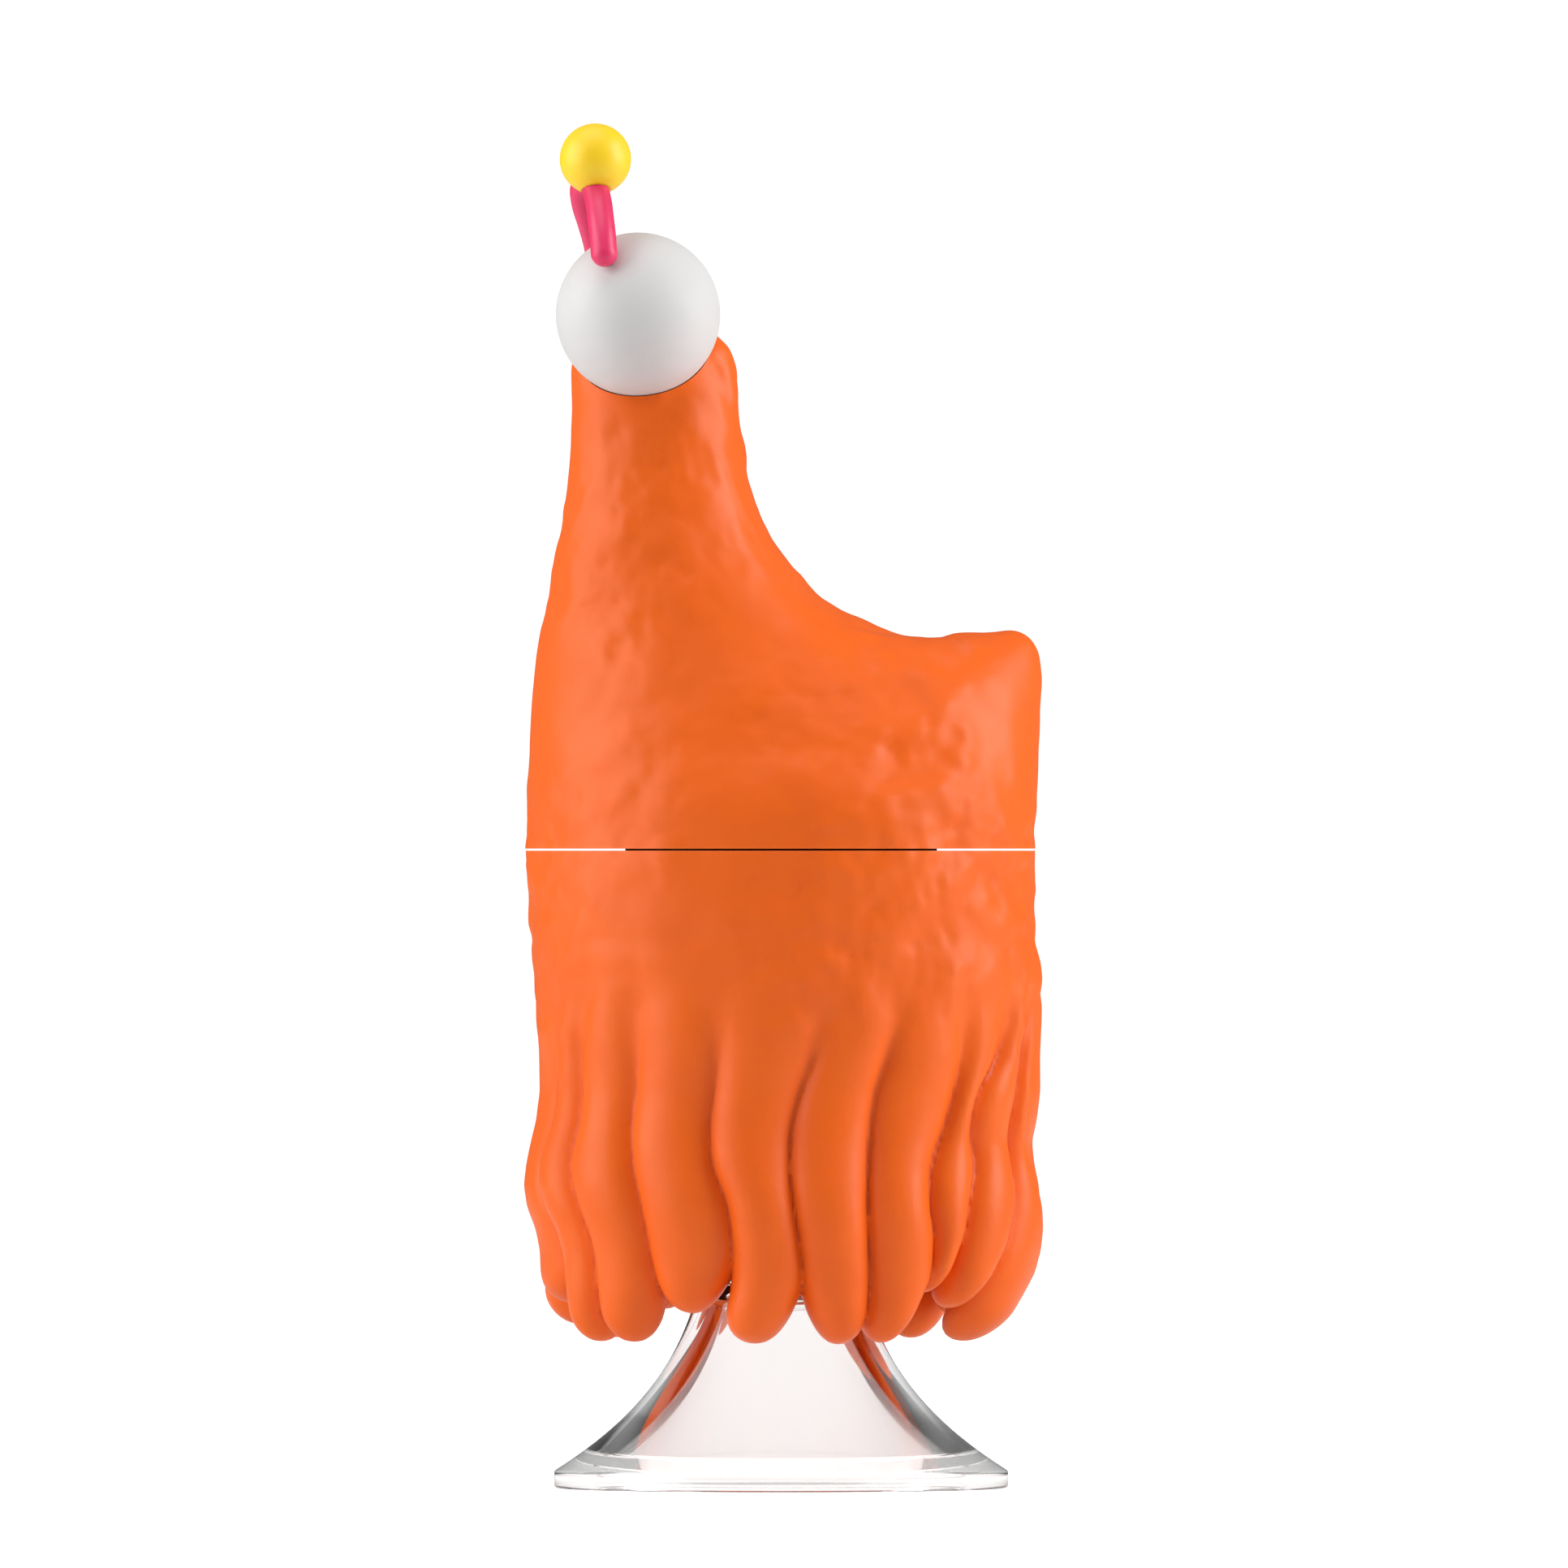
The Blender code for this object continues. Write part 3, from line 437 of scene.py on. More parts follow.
def skin_of(field, corner, cell):
    """Points and quads of the surface where the field goes through zero.

    Every cell of the lattice that has corners on both sides gets one point, the mean of the places
    where its edges go through zero, and every such edge gets a quad between the four cells round it.
    """
    inside = field < 0
    shape = np.array(field.shape) - 1
    corners = [inside[tuple(slice(s, s + n) for s, n in zip(step, shape))]
               for step in itertools.product((0, 1), repeat=3)]
    total = np.sum(corners, axis=0)
    mixed = (total > 0) & (total < 8)
    number = np.full(mixed.shape, -1)
    number[mixed] = np.arange(mixed.sum())
    cells = np.argwhere(mixed)
    places, hits = np.zeros((len(cells), 3)), np.zeros((len(cells), 1))
    quads = []
    for axis in range(3):
        unit = np.eye(3, dtype=int)[axis]
        one, two = (axis + 1) % 3, (axis + 2) % 3
        for u, v in itertools.product((0, 1), repeat=2):
            step = np.zeros(3, int)
            step[one], step[two] = u, v
            a, b = field[tuple((cells + step).T)], field[tuple((cells + step + unit).T)]
            crosses = ((a < 0) != (b < 0))[:, None]
            share = np.where(crosses[:, 0], a / np.where(a == b, 1, a - b), 0)[:, None]
            places += crosses * (cells + step + share * unit)
            hits += crosses
        low = [slice(1, -1)] * 3
        high = [slice(1, -1)] * 3
        low[axis], high[axis] = slice(0, -1), slice(1, None)
        edge_low, edge_high = inside[tuple(low)], inside[tuple(high)]
        for leaves, order in ((edge_low & ~edge_high, (0, 1, 2, 3)), (~edge_low & edge_high, (3, 2, 1, 0))):
            spot = np.argwhere(leaves) + np.where(np.arange(3) == axis, 0, 1)
            ring = []
            for u, v in ((-1, -1), (0, -1), (0, 0), (-1, 0)):
                step = np.zeros(3, int)
                step[one], step[two] = u, v
                ring.append(number[tuple((spot + step).T)])
            quads.append(np.stack([ring[i] for i in order], -1))
    return corner + (places / hits) * cell, np.concatenate(quads)


lower_points, lower_quads = skin_of(unpinched(skirt_field()), FIELD_LOW, CELL)
lower_half = piece_from("lower_half", lower_points, lower_quads, 75.0)
push_out(lower_half, rubber_lumps)
print("lower half before carving:", count(lower_half), "triangles")

# %% [markdown]
# The moulding is then cut level at the parting line and bored for the rigid liner and for the
# foot's spigot. Cutting after the lumps keeps the rim perfectly level, so the slit between the
# halves is as narrow and as straight as on the real object.

# %% Level the rim and bore the liner's seat
RIM_LOWER, RIM_UPPER = PARTING - 0.28, PARTING + 0.28
LINER_BORE_R, SPIGOT_BORE_R, BODY_FLOOR_TOP = 43.5, 14.3, 63.9
level_cut = turned("level_cut", [(0, RIM_LOWER), (120, RIM_LOWER), (120, 200), (0, 200)], 48)
liner_seat = turned("liner_seat", [(0, 50), (SPIGOT_BORE_R, 50), (SPIGOT_BORE_R, BODY_FLOOR_TOP),
                                   (LINER_BORE_R, BODY_FLOOR_TOP), (LINER_BORE_R, 190), (0, 190)], 160)
carve(lower_half, [level_cut, liner_seat], 75.0)
print("lower half:", count(lower_half), "triangles")

# %% [markdown]
# ## The upper half: breast, back, tail and neck
# The upper half is a second hollow moulding. Only its outline is known, so its depth is found the
# way a balloon finds it: a film is stretched over the outline and blown up. Where the outline is
# wide the film rises high, in the neck it stays low and round, and everywhere it is smooth. The
# surface is drawn as leaning rings, each through one point of the back and one of the breast.

# %% Outline of the upper half
# tail-side x and z, breast-side x and z, and how far the ring hangs between them, in millimetres
UPPER_RINGS = np.array([
    (70.3, 60.0, -70.5, 60.0, 0.0), (70.3, 90.0, -70.5, 90.0, 0.0), (70.3, 120.0, -70.5, 120.0, 0.0),
    (70.3, 140.0, -70.5, 140.0, 0.0), (70.3, 156.0, -70.5, 156.0, 0.0), (70.3, 170.0, -70.5, 170.0, 0.0),
    (70.4, 178.0, -70.5, 178.0, 0.0), (70.9, 188.0, -70.3, 188.0, 3.0), (71.7, 200.0, -69.8, 200.0, 7.0),
    (72.2, 214.0, -69.4, 213.0, 12.0), (72.4, 226.0, -68.3, 226.0, 18.0), (70.8, 233.5, -66.7, 238.0, 22.0),
    (65.0, 237.9, -65.2, 246.0, 24.0), (55.0, 236.9, -64.0, 253.0, 25.0), (40.0, 236.6, -62.7, 260.0, 24.0),
    (26.0, 239.8, -61.4, 267.0, 21.0), (12.0, 246.6, -60.2, 275.0, 16.0), (1.8, 257.0, -59.0, 283.0, 11.0),
    (-4.4, 267.0, -58.4, 291.0, 7.0), (-8.6, 278.5, -58.0, 298.0, 4.0), (-10.6, 292.0, -58.0, 305.0, 2.0),
    (-12.4, 304.0, -57.9, 311.0, 0.0), (-13.6, 314.0, -56.6, 317.0, 0.0), (-18.4, 320.4, -52.6, 321.0, 0.0),
    (-27.0, 323.0, -43.6, 323.0, 0.0), (-33.6, 323.6, -37.4, 323.6, 0.0),
])


def ring_plane(table, at, a):
    """x and z of leaning rings: middle + half*cos a along the lean, lower by hang*sin^2 a."""
    tail_x, tail_z, breast_x, breast_z, hang = through(table, at).T[:, :, None]
    x = (tail_x + breast_x) / 2 + (tail_x - breast_x) / 2 * np.cos(a)
    z = (tail_z + breast_z) / 2 + (tail_z - breast_z) / 2 * np.cos(a) - hang * np.sin(a) ** 2
    return x, z


def blown_film(table, rows=72, columns=33):
    """Height of a blown film over the outline, divided by sin a, on a grid of rows and angles.

    The film u holds up an even pressure, so its curvature in x plus its curvature in z is the same
    everywhere and u is zero on the outline. Each grid square is cut in two triangles, each triangle
    adds its stiffness to one big table, and solving that table gives u; the half depth is sqrt(u).
    """
    at = np.linspace(0, len(table) - 1, rows)
    a = np.linspace(0, math.pi, columns)
    x, z = ring_plane(table, at, a)
    x, z = x.ravel(), z.ravel()
    spot = np.arange(rows * columns).reshape(rows, columns)
    p, q, r, s = spot[:-1, :-1].ravel(), spot[:-1, 1:].ravel(), spot[1:, 1:].ravel(), spot[1:, :-1].ravel()
    corners = np.concatenate([np.stack([p, q, r], -1), np.stack([p, r, s], -1)])
    cx, cz = x[corners], z[corners]
    b = np.roll(cz, -1, 1) - np.roll(cz, 1, 1)
    c = np.roll(cx, 1, 1) - np.roll(cx, -1, 1)
    area = np.maximum(np.abs(np.sum(cx * b, axis=1)) / 2, 1e-4)
    stiff = (b[:, :, None] * b[:, None, :] + c[:, :, None] * c[:, None, :]) / (4 * area)[:, None, None]
    table_of_all = np.zeros((len(x), len(x)))
    np.add.at(table_of_all, (corners[:, :, None], corners[:, None, :]), stiff)
    load = np.zeros(len(x))
    np.add.at(load, corners, (2 * (OVAL_Y / OVAL_X) ** 2 * area / 3)[:, None])
    free = np.ones((rows, columns), bool)
    free[:, 0] = free[:, -1] = free[-1] = False
    free = free.ravel()
    film = np.zeros(len(x))
    film[free] = np.linalg.solve(table_of_all[np.ix_(free, free)], load[free])
    depth = np.sqrt(np.maximum(film, 0)).reshape(rows, columns)
    depth[:, 1:-1] /= np.sin(a[1:-1])
    depth[:, 0], depth[:, -1] = 2 * depth[:, 1] - depth[:, 2], 2 * depth[:, -2] - depth[:, -3]
    return depth


# %% Skin of the upper half
BELLY_SHARE = 0.12


def upper_skin(first_ring, rows, columns):
    """Rings of the upper half: a point's y is the film's half depth there times sin a. The belly is
    a little fuller than the film, and close to the parting line the depth is eased to the plain
    oval, to meet the lower half."""
    at = np.linspace(first_ring, len(UPPER_RINGS) - 1, rows)
    a = np.linspace(0, 2 * math.pi, columns, endpoint=False)
    x, z = ring_plane(UPPER_RINGS, at, a)
    film = blown_film(UPPER_RINGS)
    film_rows = through(film, at / (len(UPPER_RINGS) - 1) * (len(film) - 1))
    fold = np.where(a > math.pi, 2 * math.pi - a, a) / math.pi * (film.shape[1] - 1)
    depth = through(film_rows.T, fold).T
    print("film half depth at the parting line:", round(float(depth[3].max()), 1), "mm")
    depth *= 1 + BELLY_SHARE * (1 - fade(z, PARTING, 240))
    eased = fade(z, 176, 206)
    depth = OVAL_Y * (1 - eased) + depth * eased
    return np.stack([x, -depth * np.sin(a), z], -1)


skin = upper_skin(5.4, 200, 320)
upper_half = closed_grid("upper_half", skin[:, ::-1], (0, 0, skin[0, :, 2].mean()), (-35.5, 0, 323.6))
push_out(upper_half, rubber_lumps)
print("upper half before carving:", count(upper_half), "triangles")

# %% Hollow of the upper half
# tail-side x and z, breast-side x and z, hang, and half depths near the tail, in the middle, near the breast
HOLLOW_RINGS = np.array([
    (42.0, 188.0, -42.0, 188.0, 0.0, 42.0, 42.0, 42.0), (46.0, 195.9, -46.0, 195.9, 0.0, 45.0, 45.0, 45.0),
    (58.0, 204.0, -58.0, 204.0, 3.0, 40.0, 43.0, 43.0), (61.5, 214.0, -60.5, 216.0, 7.0, 34.0, 41.0, 41.0),
    (58.0, 224.0, -58.6, 230.0, 13.0, 26.0, 36.5, 36.5), (38.0, 227.0, -56.0, 244.0, 16.0, 27.0, 31.0, 31.0),
    (14.0, 232.0, -53.6, 258.0, 17.0, 25.0, 25.0, 23.0), (-4.0, 244.0, -51.8, 270.0, 12.0, 19.5, 19.5, 18.0),
    (-14.0, 262.0, -51.0, 280.0, 6.0, 15.0, 15.0, 13.5), (-18.0, 279.0, -50.6, 289.0, 2.0, 12.0, 12.0, 11.0),
    (-22.0, 291.0, -47.6, 294.0, 0.0, 9.0, 9.0, 9.0), (-29.0, 295.0, -42.0, 295.6, 0.0, 4.6, 4.6, 4.6),
])


def hollow_skin(rows, columns):
    """Leaning rings as above; the half depth goes from its middle value to its end value by cos^2 a."""
    at = np.linspace(0, len(HOLLOW_RINGS) - 1, rows)
    a = np.linspace(0, 2 * math.pi, columns, endpoint=False)
    x, z = ring_plane(HOLLOW_RINGS[:, :5], at, a)
    at_tail, in_middle, at_breast = through(HOLLOW_RINGS[:, 5:], at).T[:, :, None]
    depth = in_middle + (np.where(np.cos(a) > 0, at_tail, at_breast) - in_middle) * np.cos(a) ** 2
    return np.stack([x, depth * np.sin(a), z], -1)


# %% [markdown]
# Cutters make the level rim, the bore for the rigid socket, the hollow, the dished seat that the
# head ball sits in, and the way for the head's screw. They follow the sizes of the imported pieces.

# %% Carve the upper half
SOCKET_BORE_R, SOCKET_ROOF = 47.7, 195.5
HEAD, HEAD_R, CLEAR = np.array([-39.6, -12.5, 325.1]), 22.75, 0.3
SCREW_WAY = np.array([0.0, 9.0, -30.0]) / math.hypot(9.0, 30.0)


def drill(name, start, stop, radius):
    """A straight cutter between two points."""
    path = np.linspace(start, stop, 5)
    return rod(name, path, np.full(5, radius), 32)


below = turned("below", [(0, 150), (120, 150), (120, RIM_UPPER), (0, RIM_UPPER)], 48)
bore = turned("bore", [(0, 160), (SOCKET_BORE_R, 160), (SOCKET_BORE_R, SOCKET_ROOF), (0, SOCKET_ROOF)], 160)
hollow = closed_grid("hollow", hollow_skin(60, 96), (0, 0, 188.0), (-35.6, 0, 296.0))
seat = ball("seat", HEAD, HEAD_R + CLEAR)
pad = drill("pad", HEAD + SCREW_WAY * 28, HEAD + SCREW_WAY * 39, 6.0)
way = drill("way", HEAD + SCREW_WAY * 20, HEAD + SCREW_WAY * 30, 2.3)
carve(upper_half, [below, bore, hollow, seat, pad, way])
print("upper half:", count(upper_half), "triangles")

# %% [markdown]
# ## Head, comb and bobble
# The head is a satin white ball, the comb one round rod bent over it like a hairpin, and the
# bobble a smaller ball pressed on the comb's crown. The rod's ends are half balls, made by
# letting the radius shrink as the square root of one minus the distance squared.

# %% Head ball
white_head = ball("white_head", HEAD, HEAD_R, 64, 128)
insert_way = drill("insert_way", HEAD + SCREW_WAY * 10, HEAD + SCREW_WAY * 26, 3.5)
COMB_PATH = np.array([
    (-48.9, -31.3, 341.7), (-49.3, -29.0, 346.5), (-49.9, -25.6, 351.5), (-50.5, -21.5, 356.0),
    (-51.6, -17.0, 360.3), (-53.2, -12.8, 361.9), (-54.8, -8.6, 359.9), (-54.3, -4.4, 355.6),
    (-52.8, -0.4, 350.8), (-51.4, 3.2, 346.0), (-50.5, 5.6, 341.7),
])
COMB_R, DOWEL_WAY_R = 3.7, 1.4


def dowel_ways(name, start, stop):
    """Cutters for the comb's two dowels, between two distances from the middle of the head."""
    ways = []
    for end in (COMB_PATH[0], COMB_PATH[-1]):
        toward = (end - HEAD) / np.linalg.norm(end - HEAD)
        ways.append(drill(name, HEAD + toward * start, HEAD + toward * stop, DOWEL_WAY_R))
    return ways


carve(white_head, [insert_way, *dowel_ways("dowel_way", 17.7, 26)], 35.0)
print("head:", count(white_head), "triangles")

# %% Comb rod


def comb_line(radius):
    """Path and radii of the comb: its middle line, with a half ball added at each end."""
    line = through(COMB_PATH, np.linspace(0, len(COMB_PATH) - 1, 120))
    turn = np.radians(np.linspace(8, 86, 14))
    points, radii = line, np.full(len(line), radius)
    for end, into in ((0, 1), (-1, -2)):
        out = (line[end] - line[into]) / np.linalg.norm(line[end] - line[into])
        cap = line[end] + radius * np.sin(turn)[:, None] * out
        small = radius * np.cos(turn)
        if end == 0:
            points, radii = np.concatenate([cap[::-1], points]), np.concatenate([small[::-1], radii])
        else:
            points, radii = np.concatenate([points, cap]), np.concatenate([radii, small])
    return points, radii


comb_rod = rod("comb_rod", *comb_line(COMB_R), columns=64)
crown = COMB_PATH[5]
crown_way = drill("crown_way", crown, crown + (0, 0, 6), DOWEL_WAY_R)
carve(comb_rod, [crown_way, *dowel_ways("rod_dowel_way", 22, 28.3)], 35.0)
print("comb:", count(comb_rod), "triangles")

# %% Bobble
BOBBLE, BOBBLE_R = np.array([-51.4, -15.0, 368.1]), 9.9
bobble_ball = ball("bobble_ball", BOBBLE, BOBBLE_R)
saddle = rod("saddle", *comb_line(COMB_R + CLEAR))
bobble_way = drill("bobble_way", crown + (0, 0, 2), crown + (0, 0, 9.5), DOWEL_WAY_R)
carve(bobble_ball, [saddle, bobble_way], 35.0)
print("bobble:", count(bobble_ball), "triangles")

# %% [markdown]
# ## Finishes
# No moulded or turned surface is one flat colour. Three small effects do most of the work, and
# each is a node group that is built once: soft patches that vary tone and gloss, a fine grain that
# catches the light, and masks of worn edges and of hollows from the surface's own bend; the hollow
# mask darkens the colour, and on the orange rubber that darkening is painted shade.

# %% Node tools


def effect(name, inputs, outputs):
    """An empty node group with numbers for inputs (name, value) and numbers for outputs."""
    tree = bpy.data.node_groups.new(name, "ShaderNodeTree")
    for label, value in inputs:
        socket = tree.interface.new_socket(name=label, in_out="INPUT", socket_type="NodeSocketFloat")
        socket.default_value = value
    for label in outputs:
        tree.interface.new_socket(name=label, in_out="OUTPUT", socket_type="NodeSocketFloat")
    return tree, tree.nodes.new("NodeGroupInput"), tree.nodes.new("NodeGroupOutput")


def add(tree, kind, links=(), **settings):
    """A node of a kind, with its settings and with links or values for its inputs."""
    node = tree.nodes.new("ShaderNode" + kind)
    for key, value in settings.items():
        setattr(node, key, value)
    for socket, value in dict(links).items():
        if isinstance(value, bpy.types.NodeSocket):
            tree.links.new(value, node.inputs[socket])
        else:
            node.inputs[socket].default_value = value
    return node


def ranged(tree, value, low, high, to_low=0.0, to_high=1.0):
    """A value mapped smoothly from one range to another."""
    links = {"Value": value, "From Min": low, "From Max": high, "To Min": to_low, "To Max": to_high}
    return add(tree, "MapRange", links, interpolation_type="SMOOTHSTEP").outputs["Result"]


# %% Effect: soft patches
patches, given, result = effect("soft_patches", [("Size per metre", 30.0), ("Detail", 3.0)], ["Mask"])
spot = add(patches, "TexCoord").outputs["Object"]
cloud = add(patches, "TexNoise", {"Vector": spot, "Scale": given.outputs["Size per metre"],
                                  "Detail": given.outputs["Detail"], "Roughness": 0.55})
patches.links.new(ranged(patches, cloud.outputs["Fac"], 0.3, 0.7), result.inputs["Mask"])

# %% Effect: fine grain
grain, given, result = effect("fine_grain", [("Grains per metre", 2500.0), ("Pits", 0.3)], ["Height"])
spot = add(grain, "TexCoord").outputs["Object"]
dust = add(grain, "TexNoise", {"Vector": spot, "Scale": given.outputs["Grains per metre"], "Detail": 2.0})
cells = add(grain, "TexVoronoi", {"Vector": spot, "Scale": given.outputs["Grains per metre"]})
pits = ranged(grain, cells.outputs["Distance"], 0.0, 0.55)
weighed = add(grain, "Math", {0: pits, 1: given.outputs["Pits"]}, operation="MULTIPLY").outputs[0]
total = add(grain, "Math", {0: dust.outputs["Fac"], 1: weighed}, operation="ADD").outputs[0]
grain.links.new(total, result.inputs["Height"])

# %% Effect: worn edges and hollows
wear_and_shade_masks, given, result = effect("edge_and_hollow", [("Spread", 0.06)], ["Edge", "Hollow"])
bend = add(wear_and_shade_masks, "NewGeometry").outputs["Pointiness"]
above = add(wear_and_shade_masks, "Math", {0: 0.5, 1: given.outputs["Spread"]}, operation="ADD").outputs[0]
under = add(wear_and_shade_masks, "Math", {0: 0.5, 1: given.outputs["Spread"]}, operation="SUBTRACT").outputs[0]
wear_and_shade_masks.links.new(ranged(wear_and_shade_masks, bend, 0.505, above), result.inputs["Edge"])
# the Hollow mask darkens concave places: on the orange rubber this is painted shade in the creases
hollow_mask = ranged(wear_and_shade_masks, bend, under, 0.495, 1.0, 0.0)
wear_and_shade_masks.links.new(hollow_mask, result.inputs["Hollow"])


# %% The finish of a piece


def finish(name, colour, second, rough=(0.4, 0.5), patch=30.0, patch_share=0.5, grains=2500.0, pits=0.3,
           bump=0.05, bump_mm=0.05, edge=None, edge_share=0.0, hollow=None, hollow_share=0.0, **sockets):
    """A Principled material: two tones mixed by soft patches, rubbed edges, darker hollows, gloss
    that follows the patches and a fine grain as bump. Other sockets are set by name."""
    made = bpy.data.materials.new(name)
    made.use_nodes = True
    tree = made.node_tree
    shader = tree.nodes["Principled BSDF"]
    soft = add(tree, "Group", node_tree=patches)
    soft.inputs["Size per metre"].default_value = patch
    share = add(tree, "Math", {0: soft.outputs["Mask"], 1: patch_share}, operation="MULTIPLY").outputs[0]
    tone = add(tree, "Mix", data_type="RGBA")
    a, b = [s for s in tone.inputs if s.type == "RGBA"]
    a.default_value, b.default_value = (*colour, 1), (*second, 1)
    tree.links.new(share, tone.inputs[0])
    colour_out = [s for s in tone.outputs if s.type == "RGBA"][0]
    bends = add(tree, "Group", node_tree=wear_and_shade_masks)
    for over, amount, mask in ((hollow, hollow_share, "Hollow"), (edge, edge_share, "Edge")):
        if over is None:
            continue
        how_much = add(tree, "Math", {0: bends.outputs[mask], 1: amount}, operation="MULTIPLY").outputs[0]
        layer = add(tree, "Mix", data_type="RGBA")
        tree.links.new(how_much, layer.inputs[0])
        a, b = [s for s in layer.inputs if s.type == "RGBA"]
        tree.links.new(colour_out, a)
        b.default_value = (*over, 1)
        colour_out = [s for s in layer.outputs if s.type == "RGBA"][0]
    tree.links.new(colour_out, shader.inputs["Base Color"])
    tree.links.new(ranged(tree, soft.outputs["Mask"], 0, 1, *rough), shader.inputs["Roughness"])
    fine = add(tree, "Group", node_tree=grain)
    fine.inputs["Grains per metre"].default_value = grains
    fine.inputs["Pits"].default_value = pits
    relief = add(tree, "Bump", {"Height": fine.outputs["Height"], "Strength": bump, "Distance": bump_mm * MM})
    tree.links.new(relief.outputs["Normal"], shader.inputs["Normal"])
    for socket, value in sockets.items():
        shader.inputs[socket.replace("_", " ")].default_value = value
    return made


# %% [markdown]
# The orange rubber is a satin vinyl: one strong orange, a little paler where it is stretched over
# lumps, and darker in the creases where the toes press together, which is painted shade. Its
# highlights are broad and soft.

# %% Rubber, ball, comb and bobble finishes
# the hollow colour, at a share of 0.8, is painted shade in the creases between the toes
orange_rubber = finish("orange_rubber", (0.86, 0.132, 0.010), (0.80, 0.116, 0.008), (0.38, 0.48), 45, 0.7,
                       1800, 0.35, 0.10, 0.06, edge=(0.92, 0.20, 0.03), edge_share=0.25,
                       hollow=(0.50, 0.045, 0.002), hollow_share=0.8, Specular_IOR_Level=0.25)
white_ball = finish("white_ball", (0.66, 0.65, 0.645), (0.62, 0.615, 0.615), (0.52, 0.60), 60, 0.5, 2600,
                    0.2, 0.06, 0.03, Specular_IOR_Level=0.35)
pink_comb = finish("pink_comb", (0.78, 0.028, 0.13), (0.70, 0.020, 0.105), (0.36, 0.44), 80, 0.6, 2600, 0.2,
                   0.05, 0.03, edge=(0.9, 0.2, 0.3), edge_share=0.2)
yellow_bobble = finish("yellow_bobble", (0.98, 0.66, 0.012), (0.93, 0.58, 0.010), (0.40, 0.50), 80, 0.6,
                       2600, 0.2, 0.05, 0.03)

# %% [markdown]
# The foot is clear plastic. Its weight of transmission and its index are plain numbers, and only
# the roughness and a very faint waviness vary, as on a polished moulding that has been handled.

# %% Clear moulding
clear_moulding = finish("clear_moulding", (0.99, 0.985, 0.98), (0.985, 0.975, 0.97), (0.015, 0.05), 25, 0.5,
                        60, 0.0, 0.04, 0.2, Transmission_Weight=1.0, IOR=1.49)

# %% [markdown]
# The pieces inside keep their imported shapes and get the finish they would really have: orange
# moulded plastic for the liner and the socket, kept dark as painted shade for the collar deep in the
# slit, black rubber for the ring, turned brass, bright steel, natural plastic for the squeaker and
# beech for the little dowels.

# %% Finishes of the inner pieces
# orange plastic at about half the rubber's brightness: the darkness is painted shade for the collar deep in
# the slit
orange_plastic = finish("orange_plastic", (0.42, 0.060, 0.006), (0.36, 0.048, 0.005), (0.34, 0.46), 60, 0.6,
                        2200, 0.4, 0.12, 0.05, edge=(0.60, 0.12, 0.03), edge_share=0.5)
black_rubber = finish("black_rubber", (0.016, 0.016, 0.017), (0.03, 0.029, 0.028), (0.50, 0.68), 90, 0.6,
                      3000, 0.3, 0.12, 0.04, edge=(0.07, 0.07, 0.07), edge_share=0.4)
natural_plastic = finish("natural_plastic", (0.76, 0.74, 0.67), (0.70, 0.67, 0.59), (0.38, 0.50), 90, 0.6,
                         2600, 0.2, 0.08, 0.03, edge=(0.85, 0.84, 0.80), edge_share=0.5)
turned_brass = finish("turned_brass", (0.74, 0.50, 0.20), (0.62, 0.40, 0.15), (0.22, 0.40), 120, 0.7, 3500,
                      0.1, 0.10, 0.02, edge=(0.90, 0.72, 0.40), edge_share=0.7, hollow=(0.25, 0.15, 0.05),
                      hollow_share=0.5, Metallic=1.0)
bright_steel = finish("bright_steel", (0.60, 0.61, 0.62), (0.50, 0.51, 0.53), (0.20, 0.38), 120, 0.7, 3500,
                      0.1, 0.10, 0.02, edge=(0.80, 0.81, 0.82), edge_share=0.7, hollow=(0.22, 0.22, 0.23),
                      hollow_share=0.5, Metallic=1.0)
beech = finish("beech", (0.62, 0.42, 0.24), (0.50, 0.31, 0.16), (0.55, 0.70), 400, 0.9, 1500, 0.5, 0.25, 0.06)

# %% Put the finishes on
FINISHES = {
    clear_moulding: [clear_foot], orange_rubber: [lower_half, upper_half], white_ball: [white_head],
    pink_comb: [comb_rod], yellow_bobble: [bobble_ball],
    orange_plastic: ["liner_collar", "socket_cup"], black_rubber: ["collar_seal"],
    natural_plastic: ["squeaker_body", "squeaker_cap"],
    turned_brass: ["clamp_nut", "head_insert", "squeaker_reed"],
    bright_steel: ["clamp_washer", "head_washer", "head_screw"],
    beech: ["comb_dowel_front", "comb_dowel_back", "bobble_dowel"],
}
for material, wearers in FINISHES.items():
    for wearer in wearers:
        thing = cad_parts[wearer] if isinstance(wearer, str) else wearer
        if not thing.material_slots:
            thing.data.materials.append(material)
        for material_slot in thing.material_slots:
            material_slot.material = material
print("finishes:", len(FINISHES))

# %% [markdown]
# ## Who rides on what
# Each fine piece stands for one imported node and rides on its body, so the upper half lifts and
# turns with everything on it while the lower half stays on the foot.

# %% Bodies, nodes and slots
RIDERS = (
    (clear_foot, "base", "pedestal_foot", "clear_moulding"),
    (lower_half, "base", "lower_body", "orange_rubber"),
    (upper_half, "upper", "upper_body", "orange_rubber"), (white_head, "upper", "head_ball", "white_ball"),
    (comb_rod, "upper", "comb", "pink_comb"), (bobble_ball, "upper", "bobble", "yellow_bobble"),
)
for piece, body, node, slot in RIDERS:
    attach(piece, body)
    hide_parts(node)
